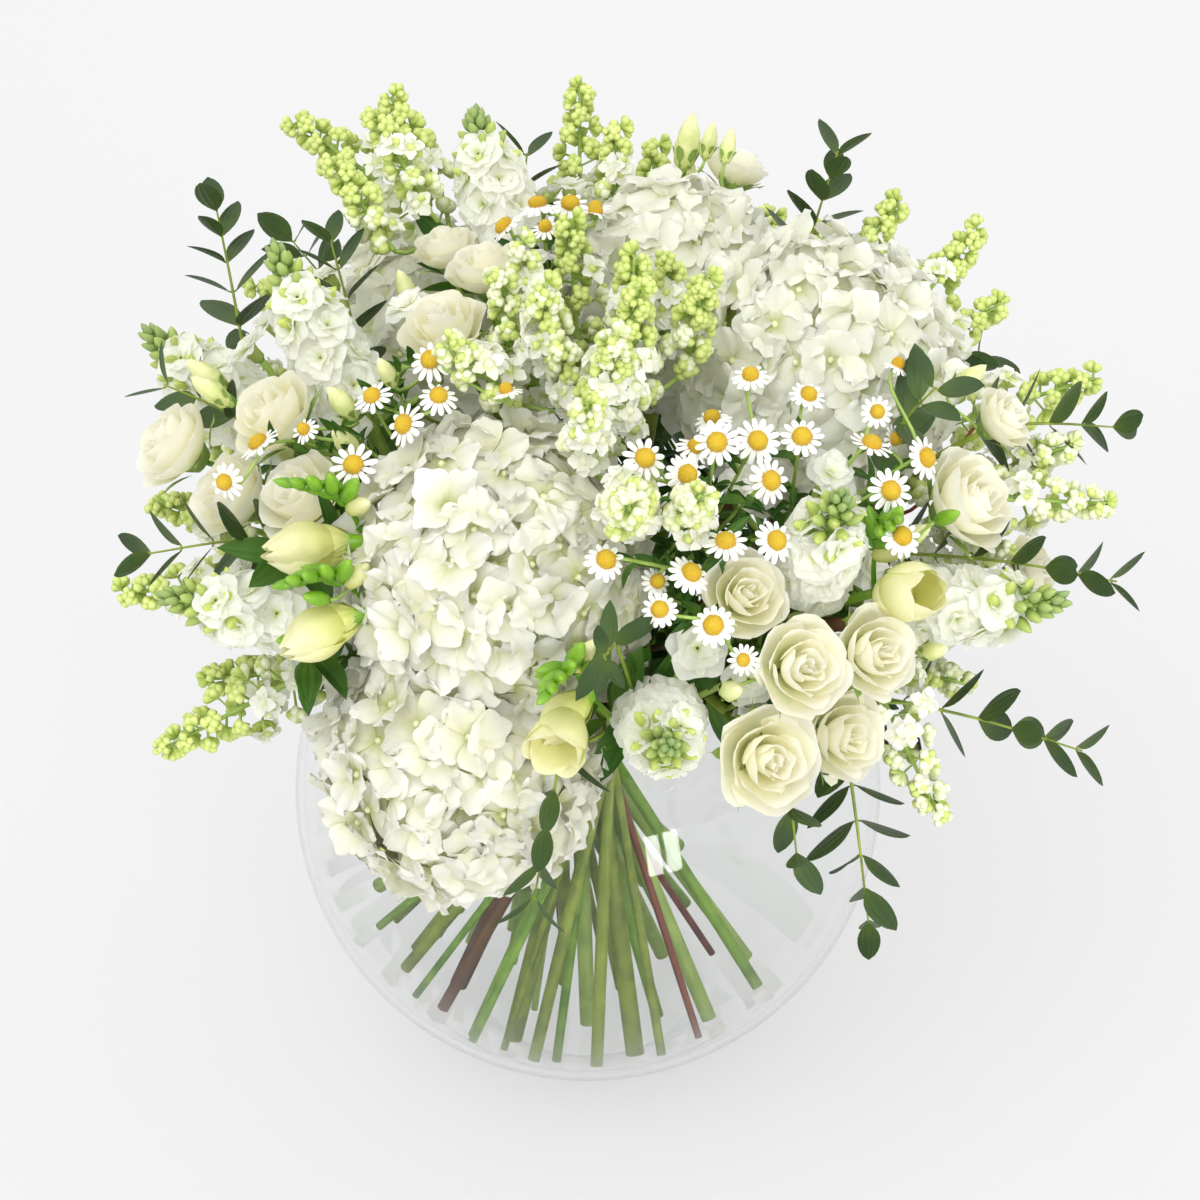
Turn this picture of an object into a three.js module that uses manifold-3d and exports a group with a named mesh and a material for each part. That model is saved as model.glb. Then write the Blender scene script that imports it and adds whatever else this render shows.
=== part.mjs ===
// Floral table centrepiece: a hand-tied white and green bouquet standing in a clear round glass bowl.
// Units are millimetres, +Z is up, -Y is the front. The origin is the centre of the bowl's flat base.
import * as THREE from 'three';
import { ConvexGeometry } from 'three/addons/geometries/ConvexGeometry.js';
import { mergeVertices } from 'three/addons/utils/BufferGeometryUtils.js';
import manifoldModule from 'manifold-3d';

const wasm = await manifoldModule();
wasm.setup();
const { Manifold, Mesh: SolidMesh } = wasm;

// ---------------------------------------------------------------- driving dimensions (mm)
const GAP = 0.5;                  // air left between two separate pieces
const BOWL_RADIUS = 140;          // outside radius of the round bowl
const BOWL_CENTRE_Z = 130;        // height of the bowl's centre over the table
const GLASS = 3.5;                // wall thickness
const FLOOR_Z = 5;                // top of the glass floor
const MOUTH_Z = 239;              // height of the mouth, under the rounded lip
const BOWL_LIP_RADIUS = 88;       // outside radius at the mouth
const BOWL_SIDES = 24;
const WAIST = [-12, 0, 150];      // where the stems are tied
const TWIST = 0.032;              // sideways lean of a stem per mm of height and mm off the waist's axis
const STRAIGHT_TOP = 30;          // a stem stays straight this far over the waist
const FOCUS = [0, 0, 185];        // flowers face away from this point
const LEAF_TILT = 0.55;            // lean of a leaf towards the tip of its twig
const HYDRANGEA_FLORETS = 23;
const HYDRANGEA_OVERLAP = 52;      // how far two neighbouring hydrangeas may press into each other
const SETTLE_PASSES = 60;
const RELAX_PASSES = 140;
const SEED = 20;
const SMOOTH = 0.4;               // slivers thinner than this are merged away after joining

const STEM_RADIUS = {
  hydrangea: 4.6, lilac: 3.0, stock: 3.8, rose: 2.3, freesia: 2.1, chamomile: 1.7, eucalyptus: 1.8,
};
const TWIG_RADIUS = {
  lilac: 1.8, rose: 1.4, chamomile: 0.9, eucalyptus: 1.1,
};

// ---------------------------------------------------------------- the flowers and where they sit
// Each plant is one stem. Its heads are given by the place of their middle and the way they point.
const PLANTS = [
  { name: 'hydrangea_1', kind: 'hydrangea', heads: [{ at: [-36, -100, 328], size: 67 }] },
  { name: 'hydrangea_2', kind: 'hydrangea', heads: [{ at: [-55, -131, 246], size: 60, aim: [-0.4, -0.9, 0.15] }] },
  { name: 'hydrangea_3', kind: 'hydrangea', heads: [{ at: [36, 78, 360], size: 52 }] },
  { name: 'hydrangea_4', kind: 'hydrangea', heads: [{ at: [106, 20, 350], size: 62 }] },
  { name: 'hydrangea_5', kind: 'hydrangea', heads: [{ at: [-72, 96, 322], size: 60 }] },

  { name: 'lilac_1', kind: 'lilac', heads: [{ at: [16, 114, 386], size: 90, aim: [0, 0.4, 0.9] }] },
  { name: 'lilac_2', kind: 'lilac', heads: [{ at: [-84, 100, 388], size: 92, aim: [-0.75, 0.3, 0.45] }] },
  { name: 'lilac_3', kind: 'lilac', heads: [
    { at: [-30, -34, 404], size: 75, aim: [-0.25, -0.1, 0.95] },
    { at: [-48, -74, 392], size: 60, aim: [-0.45, -0.45, 0.75] }] },
  { name: 'lilac_4', kind: 'lilac', heads: [{ at: [20, -44, 404], size: 70, aim: [0.05, -0.1, 1] },
    { at: [-6, 16, 400], size: 70, aim: [-0.05, 0.1, 1] }] },
  { name: 'lilac_5', kind: 'lilac', heads: [
    { at: [4, -88, 400], size: 80, aim: [0, -0.4, 0.9] },
    { at: [2, -132, 374], size: 70, aim: [0, -0.8, 0.5] }] },
  { name: 'lilac_6', kind: 'lilac', heads: [
    { at: [152, 84, 352], size: 85, aim: [0.6, 0.4, 0.6] },
    { at: [186, 34, 330], size: 85, aim: [0.9, 0, 0.35] }] },
  { name: 'lilac_7', kind: 'lilac', heads: [{ at: [188, -42, 316], size: 95, aim: [1, -0.15, 0.05] }] },
  { name: 'lilac_8', kind: 'lilac', heads: [
    { at: [-174, -38, 274], size: 80, aim: [-1, -0.1, -0.05] },
    { at: [-154, -80, 237], size: 88, aim: [-0.85, -0.35, -0.3] }] },
  { name: 'lilac_9', kind: 'lilac', heads: [{ at: [130, -132, 268], size: 98, aim: [0.4, -0.35, -0.75] }] },
  { name: 'lilac_10', kind: 'lilac', heads: [{ at: [78, 158, 322], size: 90, aim: [0.3, 0.85, 0.35] }] },
  { name: 'lilac_11', kind: 'lilac', heads: [{ at: [-152, 104, 300], size: 90, aim: [-0.75, 0.6, 0.15] }] },

  { name: 'stock_1', kind: 'stock', heads: [{ at: [-122, 4, 382], size: 95, aim: [-0.5, 0.35, 0.75] }] },
  { name: 'stock_2', kind: 'stock', heads: [{ at: [-174, 38, 332], size: 84, aim: [-0.85, 0.3, 0.4] }] },
  { name: 'stock_3', kind: 'stock', heads: [{ at: [-146, -95, 298], size: 88, aim: [-1, -0.2, 0.1] }] },
  { name: 'stock_4', kind: 'stock', heads: [{ at: [36, -176, 290], size: 70, aim: [0.05, -0.95, 0.3] }] },
  { name: 'stock_5', kind: 'stock', heads: [{ at: [100, -126, 356], size: 80, aim: [0.2, -0.5, 0.85] }] },
  { name: 'stock_6', kind: 'stock', heads: [{ at: [166, -100, 300], size: 88, aim: [1, -0.25, 0.05] }] },
  { name: 'stock_7', kind: 'stock', heads: [{ at: [-60, 98, 384], size: 75, aim: [-0.3, 0.5, 0.8] }] },
  { name: 'stock_8', kind: 'stock', heads: [{ at: [4, 170, 306], size: 85, aim: [0, 0.95, 0.25] }] },

  { name: 'rose_1', kind: 'rose', heads: [
    { at: [-138, -40, 366], size: 19 }, { at: [-180, -26, 338], size: 19 }, { at: [-166, -6, 362], size: 8 }] },
  { name: 'rose_2', kind: 'rose', heads: [
    { at: [-62, -24, 402], size: 18 }, { at: [-46, 24, 404], size: 16 }, { at: [-64, 52, 398], size: 14 }] },
  { name: 'rose_3', kind: 'rose', heads: [
    { at: [-126, -76, 350], size: 19 }, { at: [-160, -50, 332], size: 19 }] },
  { name: 'rose_4', kind: 'rose', heads: [
    { at: [80, -174, 288], size: 21 }, { at: [88, -162, 322], size: 19 }, { at: [112, -152, 276], size: 18 }] },
  { name: 'rose_5', kind: 'rose', heads: [
    { at: [118, -148, 318], size: 18 }, { at: [70, -154, 342], size: 17 }] },
  { name: 'rose_6', kind: 'rose', heads: [
    { at: [166, -74, 344], size: 21 }, { at: [184, -26, 356], size: 14 }, { at: [194, -58, 306], size: 15 }] },
  { name: 'rose_7', kind: 'rose', heads: [
    { at: [48, 130, 404], size: 9 }, { at: [66, 122, 398], size: 14 }, { at: [60, 156, 362], size: 19 }] },
  { name: 'rose_8', kind: 'rose', heads: [
    { at: [-44, 172, 296], size: 20 }, { at: [-80, 158, 312], size: 18 }, { at: [-62, 168, 270], size: 17 }] },

  { name: 'freesia_1', kind: 'freesia', heads: [{ at: [-122, -116, 346], size: 62, aim: [-0.9, -0.4, 0.15] }] },
  { name: 'freesia_2', kind: 'freesia', heads: [{ at: [-114, -142, 320], size: 60, aim: [-0.8, -0.6, -0.1] }] },
  { name: 'freesia_3', kind: 'freesia', heads: [{ at: [-12, -190, 300], size: 64, aim: [-0.3, -0.95, -0.2] }] },
  { name: 'freesia_4', kind: 'freesia', heads: [{ at: [134, -132, 340], size: 60, aim: [0.45, -0.7, 0.5] }] },
  { name: 'freesia_5', kind: 'freesia', heads: [{ at: [120, 134, 306], size: 60, aim: [0.6, 0.75, 0.25] }] },

  { name: 'chamomile_1', kind: 'chamomile', heads: [
    { at: [21, -130, 388] }, { at: [8, -152, 366] }, { at: [40, -122, 392] },
    { at: [46, -152, 360] }, { at: [54, -168, 346] }] },
  { name: 'chamomile_2', kind: 'chamomile', heads: [
    { at: [54, -112, 395] }, { at: [70, -104, 392] }, 
    { at: [56, -150, 372] }, { at: [82, -140, 366] }, { at: [76, -118, 384] }] },
  { name: 'chamomile_3', kind: 'chamomile', heads: [
    { at: [90, -96, 390] }, { at: [120, -92, 384] },
    { at: [128, -110, 370] }, { at: [144, -84, 372] }, { at: [130, -126, 354] }] },
  { name: 'chamomile_4', kind: 'chamomile', heads: [
    { at: [-75, -90, 390] }, { at: [-98, -96, 376] },
    { at: [-64, -58, 404] }, { at: [-138, -68, 366] }] },
  { name: 'chamomile_5', kind: 'chamomile', heads: [
    { at: [-36, 48, 410] }, { at: [-10, 78, 404] }, { at: [-28, 66, 408] },
    { at: [-46, 134, 372] }, { at: [-16, 142, 366] }] },

  { name: 'eucalyptus_1', kind: 'eucalyptus', heads: [
    { at: [-166, 90, 362], size: 84, aim: [-0.15, 0.35, 0.9] },
    { at: [-166, 4, 344], size: 60, aim: [-0.8, 0.05, 0.55] }] },
  { name: 'eucalyptus_2', kind: 'eucalyptus', heads: [
    { at: [-108, 32, 384], size: 70, aim: [-0.2, 0.3, 0.9] },
    { at: [-42, 94, 386], size: 60, aim: [0.1, 0.4, 0.9] }] },
  { name: 'eucalyptus_3', kind: 'eucalyptus', heads: [{ at: [106, 114, 376], size: 92, aim: [0.25, 0.35, 0.9] }] },
  { name: 'eucalyptus_4', kind: 'eucalyptus', heads: [
    { at: [206, -6, 342], size: 66, aim: [0.95, 0, 0.1] },
    { at: [140, -54, 378], size: 60, aim: [0.3, -0.4, 0.85] }] },
  { name: 'eucalyptus_5', kind: 'eucalyptus', heads: [{ at: [184, -74, 314], size: 100, aim: [1, -0.1, 0.02] }] },
  { name: 'eucalyptus_6', kind: 'eucalyptus', heads: [{ at: [170, -114, 258], size: 100, aim: [1, -0.15, -0.1] }] },
  { name: 'eucalyptus_7', kind: 'eucalyptus', heads: [
    { at: [118, -148, 220], size: 80, aim: [0.15, -0.25, -0.95] },
    { at: [85, -168, 264], size: 60, aim: [0.1, -0.8, -0.55] }] },
  { name: 'eucalyptus_8', kind: 'eucalyptus', heads: [
    { at: [-17, -186, 256], size: 62, aim: [-0.2, -0.5, -0.85] },
    { at: [10, -178, 342], size: 55, aim: [-0.1, -0.8, 0.55] }] },
  { name: 'eucalyptus_9', kind: 'eucalyptus', heads: [{ at: [-157, -66, 326], size: 80, aim: [-1, -0.1, 0.05] }] },
  { name: 'eucalyptus_10', kind: 'eucalyptus', heads: [{ at: [-112, 150, 318], size: 90, aim: [-0.5, 0.8, 0.35] }] },
  { name: 'eucalyptus_11', kind: 'eucalyptus', heads: [
    { at: [158, 122, 290], size: 90, aim: [0.8, 0.55, 0.1] },
    { at: [26, 174, 272], size: 80, aim: [0.1, 0.95, -0.1] }] },
];

// ---------------------------------------------------------------- small helpers
const V = (x, y, z) => new THREE.Vector3(x, y, z);
const vec = (list) => new THREE.Vector3(...list);

function seededRandom(seed) {
  let state = seed >>> 0;
  return () => {
    state = (state + 0x6d2b79f5) >>> 0;
    let t = state;
    t = Math.imul(t ^ (t >>> 15), t | 1);
    t ^= t + Math.imul(t ^ (t >>> 7), t | 61);
    return ((t ^ (t >>> 14)) >>> 0) / 4294967296;
  };
}

// A closed solid from a three.js geometry: corners joined, flat triangles dropped, outside facing out.
function solidOf(geometry) {
  const plain = new THREE.BufferGeometry();
  const flat = geometry.index ? geometry.toNonIndexed() : geometry;
  plain.setAttribute('position', flat.getAttribute('position').clone());
  const joined = mergeVertices(plain, 1e-3);
  const place = joined.getAttribute('position');
  const index = joined.index.array;
  const kept = [];
  let volume = 0;
  const [a, b, c] = [V(), V(), V()];
  for (let i = 0; i < index.length; i += 3) {
    const [p, q, r] = [index[i], index[i + 1], index[i + 2]];
    if (p === q || q === r || r === p) continue;
    kept.push(p, q, r);
    a.fromBufferAttribute(place, p);
    b.fromBufferAttribute(place, q);
    c.fromBufferAttribute(place, r);
    volume += a.dot(b.cross(c));
  }
  if (volume < 0) {
    for (let i = 0; i < kept.length; i += 3) [kept[i], kept[i + 1]] = [kept[i + 1], kept[i]];
  }
  const mesh = new SolidMesh({
    numProp: 3, vertProperties: new Float32Array(place.array), triVerts: new Uint32Array(kept),
  });
  return new Manifold(mesh);
}

// A turned form round +Z from [radius, height] pairs, its radius waved by `wave(angle, ringIndex)`.
function turned(profile, sides, wave) {
  const points = profile.map(([radius, height]) => new THREE.Vector2(radius, height));
  const geometry = new THREE.LatheGeometry(points, sides);
  geometry.rotateX(Math.PI / 2);
  if (!wave) return geometry;
  const place = geometry.getAttribute('position');
  const waves = [];
  for (let side = 0; side <= sides; side += 1) {
    for (let ring = 0; ring < profile.length; ring += 1) {
      const i = side * profile.length + ring;
      const step = side % sides;
      waves.push(side < sides ? wave(step, ring) : waves[ring]);
      const { radial, lift } = waves[i];
      place.setXYZ(i, place.getX(i) * radial, place.getY(i) * radial, place.getZ(i) + lift);
    }
  }
  return geometry;
}

// Moves a form built round +Z so that its origin lies at `at` and +Z points along `aim`.
function placed(geometry, at, aim, spin = 0) {
  const turn = new THREE.Quaternion().setFromUnitVectors(V(0, 0, 1), aim.clone().normalize());
  geometry.rotateZ(spin);
  geometry.applyQuaternion(turn);
  geometry.translate(at.x, at.y, at.z);
  return geometry;
}

class StemLine extends THREE.Curve {
  constructor(points) {
    super();
    this.points = points;
  }

  getPointAt(u, target = V()) {
    return target.copy(this.points[Math.round(u * (this.points.length - 1))]);
  }

  getPoint(u, target = V()) {
    return this.getPointAt(u, target);
  }

  getTangentAt(u, target = V()) {
    const last = this.points.length - 1;
    const here = Math.round(u * last);
    const before = this.points[Math.max(here - 1, 0)];
    const after = this.points[Math.min(here + 1, last)];
    return target.copy(after).sub(before).normalize();
  }
}

// A stem of constant radius through the given points.
function tube(points, radius, sides, grow = 0) {
  const path = points.map((point) => point.clone());
  if (grow > 0) {
    const last = path.length - 1;
    path[0].add(path[0].clone().sub(path[1]).setLength(grow));
    path[last].add(path[last].clone().sub(path[last - 1]).setLength(grow));
  }
  const reach = (radius + grow) / Math.cos(Math.PI / sides) ** (grow > 0 ? 1 : 0);
  const corners = [];
  for (let i = 0; i < sides; i += 1) {
    const angle = (2 * Math.PI * i) / sides;
    corners.push(new THREE.Vector2(Math.cos(angle) * reach, Math.sin(angle) * reach));
  }
  return new THREE.ExtrudeGeometry(new THREE.Shape(corners), {
    steps: path.length - 1, extrudePath: new StemLine(path), bevelEnabled: false,
  });
}

// ---------------------------------------------------------------- laying out the stems
function outward(at) {
  return vec(at).sub(vec(FOCUS)).normalize();
}

function headAim(head) {
  return head.aim ? vec(head.aim).normalize() : outward(head.at);
}

const HEAD_ROOT = {
  hydrangea: (head) => 0.45 * head.size,
  lilac: (head) => 0.5 * head.size,
  stock: (head) => 0.5 * head.size,
  rose: (head) => 0.8 * head.size,
  freesia: (head) => 0.5 * head.size,
  chamomile: () => 0.5,
  eucalyptus: (head) => 0.5 * head.size,
};

// Where the stem of a head ends: under its middle, against the way it points.
function rootOf(kind, head) {
  const root = vec(head.at).addScaledVector(headAim(head), -HEAD_ROOT[kind](head));
  if (kind === 'chamomile') root.addScaledVector(across(headAim(head), 1), 2.5);
  return root;
}

// The thin spine that carries the leaves of a eucalyptus sprig or the buds of a freesia.
function spineOf(kind, head) {
  const aim = headAim(head);
  const root = rootOf(kind, head);
  const on = (forward, side, sideways) => root.clone()
    .addScaledVector(aim, forward * head.size).addScaledVector(side, sideways * head.size);
  if (kind === 'eucalyptus') {
    const down = V(0, 0, -1);
    return [on(-0.04, down, 0), on(0.5, down, 0.03), on(0.97, down, 0.11)];
  }
  const side = across(aim, 0.6);
  return [on(-0.04, side, 0), on(0.4, side, 0.05), on(0.6, side, 0.6)];
}

function hasSpine(kind) {
  return kind === 'eucalyptus' || kind === 'freesia';
}

// Where the twigs of a plant with several heads leave its main stem.
function forkOf(plant) {
  const middle = V(0, 0, 0);
  for (const head of plant.heads) middle.addScaledVector(rootOf(plant.kind, head), 1 / plant.heads.length);
  const back = middle.clone().sub(vec(FOCUS)).multiplyScalar(0.28);
  return middle.sub(back);
}

function bezier(a, b, c, d, steps) {
  return new THREE.CubicBezierCurve3(a, b, c, d).getPoints(steps);
}

// Places every stem in the tied waist: near the middle for high flowers, further out for low ones,
// a quarter turn behind its own flower, and never closer to another stem than their two radii.
function packWaist(stems) {
  const order = [...stems].sort((p, q) => p.spread - q.spread);
  const done = [];
  for (const stem of order) {
    const wanted = stem.bearing - Math.PI / 2;
    let best = null;
    for (let ring = 0; ring < 70; ring += 1) {
      const radius = ring * 0.6;
      if (best && radius > best.cost) break;
      for (let turn = 0; turn < 90; turn += 1) {
        const angle = (turn * 2 * Math.PI) / 90;
        const miss = Math.abs(Math.atan2(Math.sin(angle - wanted), Math.cos(angle - wanted)));
        const cost = radius * (1 + 0.45 * miss);
        if (best && cost >= best.cost) continue;
        const [x, y] = [radius * Math.cos(angle), radius * Math.sin(angle)];
        if (done.every((other) => lineGap(x, y, other.x, other.y) >= stem.radius + other.radius + 0.18)) {
          best = { cost, x, y };
        }
      }
    }
    stem.x = best.x;
    stem.y = best.y;
    done.push(stem);
  }
}

// Shortest distance between two leaning stems that cross the waist at (ax, ay) and (bx, by).
function lineGap(ax, ay, bx, by) {
  const first = V(-TWIST * ay, TWIST * ax, 1);
  const second = V(-TWIST * by, TWIST * bx, 1);
  const apart = V(bx - ax, by - ay, 0);
  const across = first.clone().cross(second);
  const length = across.length();
  if (length < 1e-9) return apart.length();
  return Math.abs(apart.dot(across)) / length;
}

function onStem(stem, height) {
  return V(
    WAIST[0] + stem.x - TWIST * stem.y * height,
    WAIST[1] + stem.y + TWIST * stem.x * height,
    WAIST[2] + height,
  );
}

// Inside radius of the bowl at a height, as built from flat facets.
function innerRadius(z) {
  const profile = insideProfile();
  for (let i = 1; i < profile.length; i += 1) {
    const [upper, lower] = [profile[i - 1], profile[i]];
    if (z <= upper[1] && z > lower[1]) {
      const part = (z - lower[1]) / (upper[1] - lower[1]);
      return (lower[0] + part * (upper[0] - lower[0])) * Math.cos(Math.PI / BOWL_SIDES);
    }
  }
  return 0;
}

// The foot of a stem rests just over the glass floor or the curved wall.
function footOf(stem) {
  const lean = onStem(stem, 1).sub(onStem(stem, 0)).normalize();
  let foot = onStem(stem, -60);
  for (let height = -60; height > -150; height -= 0.2) {
    const point = onStem(stem, height);
    for (let step = 0; step < 12; step += 1) {
      const rim = point.clone().addScaledVector(across(lean, (step * Math.PI) / 6), stem.radius);
      if (Math.hypot(rim.x, rim.y) > innerRadius(rim.z) - GAP - 0.05) return foot;
      if (rim.z < FLOOR_Z + GAP) return foot;
    }
    foot = point;
  }
  return foot;
}

function closestOnSegment(point, a, b, target) {
  const along = target.copy(b).sub(a);
  const t = THREE.MathUtils.clamp(point.clone().sub(a).dot(along) / along.lengthSq(), 0, 1);
  return along.multiplyScalar(t).add(a);
}

// Pushes the free points of all stems and twigs off each other and off foreign flower heads.
function relax(lines, balls) {
  const near = V();
  const push = (line, k, from, need) => {
    const away = line.points[k].clone().sub(from);
    const distance = away.length();
    if (distance >= need || distance < 1e-6) return;
    if (k > line.firstFree - 1 && k < line.points.length - 1) {
      line.points[k].add(away.setLength((need - distance) * 0.6));
    }
  };
  const pushSpan = (line, k, part, ball) => {
    const at = line.points[k - 1].clone().lerp(line.points[k], part);
    const need = ball.radius + line.radius + 2;
    const distance = at.distanceTo(ball.at);
    if (distance >= need || distance < 1e-6) return;
    const shift = at.sub(ball.at).setLength((need - distance) * 0.5);
    if (k < line.points.length - 1) line.points[k].add(shift);
    if (k - 1 >= line.firstFree) line.points[k - 1].add(shift);
  };
  for (let pass = 0; pass < RELAX_PASSES; pass += 1) {
    for (const line of lines) {
      const last = line.points.length - 1;
      for (let k = line.firstFree; k < last; k += 1) {
        const middle = line.points[k - 1].clone().add(line.points[k + 1]).multiplyScalar(0.5);
        line.points[k].lerp(middle, 0.08);
      }
      for (let k = line.firstFree; k <= last; k += 1) {
        const samples = [0.25, 0.5, 0.75].map((part) => line.points[k - 1].clone().lerp(line.points[k], part));
        for (const other of lines) {
          if (other.plant === line.plant) continue;
          const need = line.radius + other.radius + GAP + 0.9;
          for (let s = 0; s < other.points.length - 1; s += 1) {
            if (Math.abs(other.points[s].z - line.points[k].z) > 90) continue;
            closestOnSegment(line.points[k], other.points[s], other.points[s + 1], near);
            push(line, k, near, need);
            for (const sample of samples) {
              closestOnSegment(sample, other.points[s], other.points[s + 1], near);
              const gap = sample.distanceTo(near);
              if (gap < need && gap > 1e-6) {
                const shift = sample.clone().sub(near).setLength((need - gap) * 0.6);
                if (k < last) line.points[k].add(shift);
                if (k - 1 >= line.firstFree) line.points[k - 1].add(shift);
              }
            }
          }
        }
        for (const ball of balls) {
          if (ball.plant === line.plant) continue;
          push(line, k, ball.at, ball.radius + line.radius + 2);
          for (const part of [0.33, 0.67]) pushSpan(line, k, part, ball);
        }
      }
      clearBowl(line);
    }
  }
}

// Keeps a line inside the mouth on its way up, over the lip where it leaves, and off the glass outside.
function clearBowl(line) {
  const last = line.points.length - 1;
  const lip = BOWL_LIP_RADIUS;
  const inside = lip - GLASS - 3.5 - line.radius;
  const over = MOUTH_Z + 4.5 + 1.3 * line.radius;
  const raise = (k, amount) => {
    if (k >= line.firstFree && k < last) line.points[k].z += amount;
  };
  for (let k = line.firstFree; k <= last; k += 1) {
    const [before, point] = [line.points[k - 1], line.points[k]];
    const radius = Math.hypot(point.x, point.y);
    if (k < last && point.z < over && radius > inside && radius < lip + 6) {
      point.x *= inside / radius;
      point.y *= inside / radius;
    }
    for (const crossing of [inside, lip + 3]) {
      const from = Math.hypot(before.x, before.y);
      if (from < crossing && radius > crossing) {
        const height = before.z + ((point.z - before.z) * (crossing - from)) / (radius - from);
        if (height < over) {
          raise(k - 1, 0.7 * (over - height));
          raise(k, 0.7 * (over - height));
        }
      }
    }
    if (k < last && radius > lip) {
      const fromCentre = point.clone().sub(V(0, 0, BOWL_CENTRE_Z));
      const free = BOWL_RADIUS + line.radius + 4;
      if (fromCentre.length() < free) point.add(fromCentre.setLength(free - fromCentre.length()));
    }
  }
}

// Balls that fill a head, as [distance along its aim, radius] in mm.
function ballsIn(kind, size) {
  if (kind === 'hydrangea') return [[0, 1.05 * size]];
  if (kind === 'rose') return size < 10 ? [[0, size]] : [[-0.1 * size, 1.05 * size]];
  if (kind === 'chamomile') return [[0.5, 9.5]];
  if (kind === 'lilac') return [[-0.3, 0.18], [0, 0.19], [0.3, 0.12]].map(([at, wide]) => [at * size, wide * size]);
  if (kind === 'stock') return [[-0.22 * size, 22], [0.05 * size, 21], [0.34 * size, 10]];
  if (kind === 'freesia') return [[-0.2 * size, 8], [0.1 * size, 15], [0.38 * size, 12]];
  return [[-0.35 * size, 3], [-0.1 * size, 4], [0.15 * size, 4], [0.4 * size, 4]];
}

function ballsOf(plant) {
  return plant.heads.flatMap((head) => ballsIn(plant.kind, head.size || 0).map(([along, radius]) => ({
    plant, head, radius, at: vec(head.at).addScaledVector(headAim(head), along),
  })));
}

// Presses the flower heads off each other and off the bowl, the heavy hydrangeas least, so that
// neighbours lie side by side.
function settleHeads() {
  const weight = { hydrangea: 0.12, chamomile: 1.3, eucalyptus: 1.2 };
  const balls = PLANTS.flatMap(ballsOf);
  const home = new Map();
  for (const plant of PLANTS) for (const head of plant.heads) home.set(head, vec(head.at));
  const moved = new Map([...home.keys()].map((head) => [head, V(0, 0, 0)]));
  const away = V();
  for (let pass = 0; pass < SETTLE_PASSES; pass += 1) {
    for (let i = 0; i < balls.length; i += 1) {
      for (let j = i + 1; j < balls.length; j += 1) {
        const [a, b] = [balls[i], balls[j]];
        if (a.head === b.head) continue;
        away.copy(a.at).add(moved.get(a.head)).sub(b.at).sub(moved.get(b.head));
        const need = a.radius + b.radius + (a.plant.kind === b.plant.kind && a.plant.kind === 'hydrangea' ? -HYDRANGEA_OVERLAP : 1);
        const distance = away.length();
        if (distance >= need || distance < 1e-6) continue;
        const [wa, wb] = [weight[a.plant.kind] || 1, weight[b.plant.kind] || 1];
        away.setLength((0.5 * (need - distance)) / (wa + wb));
        moved.get(a.head).addScaledVector(away, wa);
        moved.get(b.head).addScaledVector(away, -wb);
      }
      const ball = balls[i];
      away.copy(ball.at).add(moved.get(ball.head)).sub(V(0, 0, BOWL_CENTRE_Z));
      const free = BOWL_RADIUS + GAP + ball.radius * (ball.plant.kind === 'hydrangea' ? 0.62 : 1);
      if (away.length() < free) moved.get(ball.head).add(away.setLength(0.5 * (free - away.length())));
    }
    for (const shift of moved.values()) shift.multiplyScalar(0.985);
  }
  for (const [head, at] of home) {
    const shift = moved.get(head);
    head.at = [at.x + shift.x, at.y + shift.y, at.z + shift.z];
  }
}

function layOut() {
  settleHeads();
  const stems = PLANTS.map((plant) => {
    const single = plant.heads.length === 1;
    const end = single ? rootOf(plant.kind, plant.heads[0]) : forkOf(plant);
    const aim = single ? headAim(plant.heads[0]) : outward([end.x, end.y, end.z]);
    return {
      plant, end, aim, radius: STEM_RADIUS[plant.kind],
      spread: Math.hypot(end.x - WAIST[0], end.y) - 0.35 * (end.z - 250),
      bearing: Math.atan2(end.y, end.x - WAIST[0]),
    };
  });
  packWaist(stems);
  const lines = [];
  for (const stem of stems) {
    const top = onStem(stem, STRAIGHT_TOP);
    const foot = footOf(stem);
    const lean = top.clone().sub(foot).normalize();
    const length = top.distanceTo(stem.end);
    const bend = bezier(
      top, top.clone().addScaledVector(lean, 0.3 * length),
      stem.end.clone().addScaledVector(stem.aim, -0.35 * length), stem.end, 4,
    );
    stem.points = [foot, ...bend];
    lines.push({ plant: stem.plant, points: stem.points, radius: stem.radius, firstFree: 2, main: true });
    if (stem.plant.heads.length > 1) {
      for (const head of stem.plant.heads) {
        const root = rootOf(stem.plant.kind, head);
        const away = root.distanceTo(stem.end);
        const toHead = root.clone().sub(stem.end);
        const sideways = toHead.addScaledVector(stem.aim, -toHead.dot(stem.aim)).normalize();
        const inner = stem.end.clone().addScaledVector(stem.aim, -1.5).addScaledVector(sideways, 0.4 * stem.radius);
        const twig = bezier(
          inner, inner.clone().addScaledVector(stem.aim, 0.3 * away),
          root.clone().addScaledVector(headAim(head), -0.3 * away), root, 2,
        );
        lines.push({
          plant: stem.plant, points: twig, radius: TWIG_RADIUS[stem.plant.kind], firstFree: 1, main: false, head,
        });
      }
    }
  }
  for (const plant of PLANTS.filter((entry) => hasSpine(entry.kind))) {
    for (const head of plant.heads) {
      lines.push({
        plant, points: spineOf(plant.kind, head), radius: plant.kind === 'freesia' ? 1.5 : 1.0,
        firstFree: 9, main: false,
      });
    }
  }
  relax(lines, PLANTS.flatMap(ballsOf));
  return { stems, lines };
}

// ---------------------------------------------------------------- flower forms
// A form gives the pieces of one head: { build, loose }. `build(air)` gives the piece itself for no
// air, or a thicker one that cuts room for it out of its neighbours. A loose piece is left out when
// it has no room itself.
const fast = (build) => ({ build, loose: false });
const loose = (build) => ({ build, loose: true });

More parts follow.
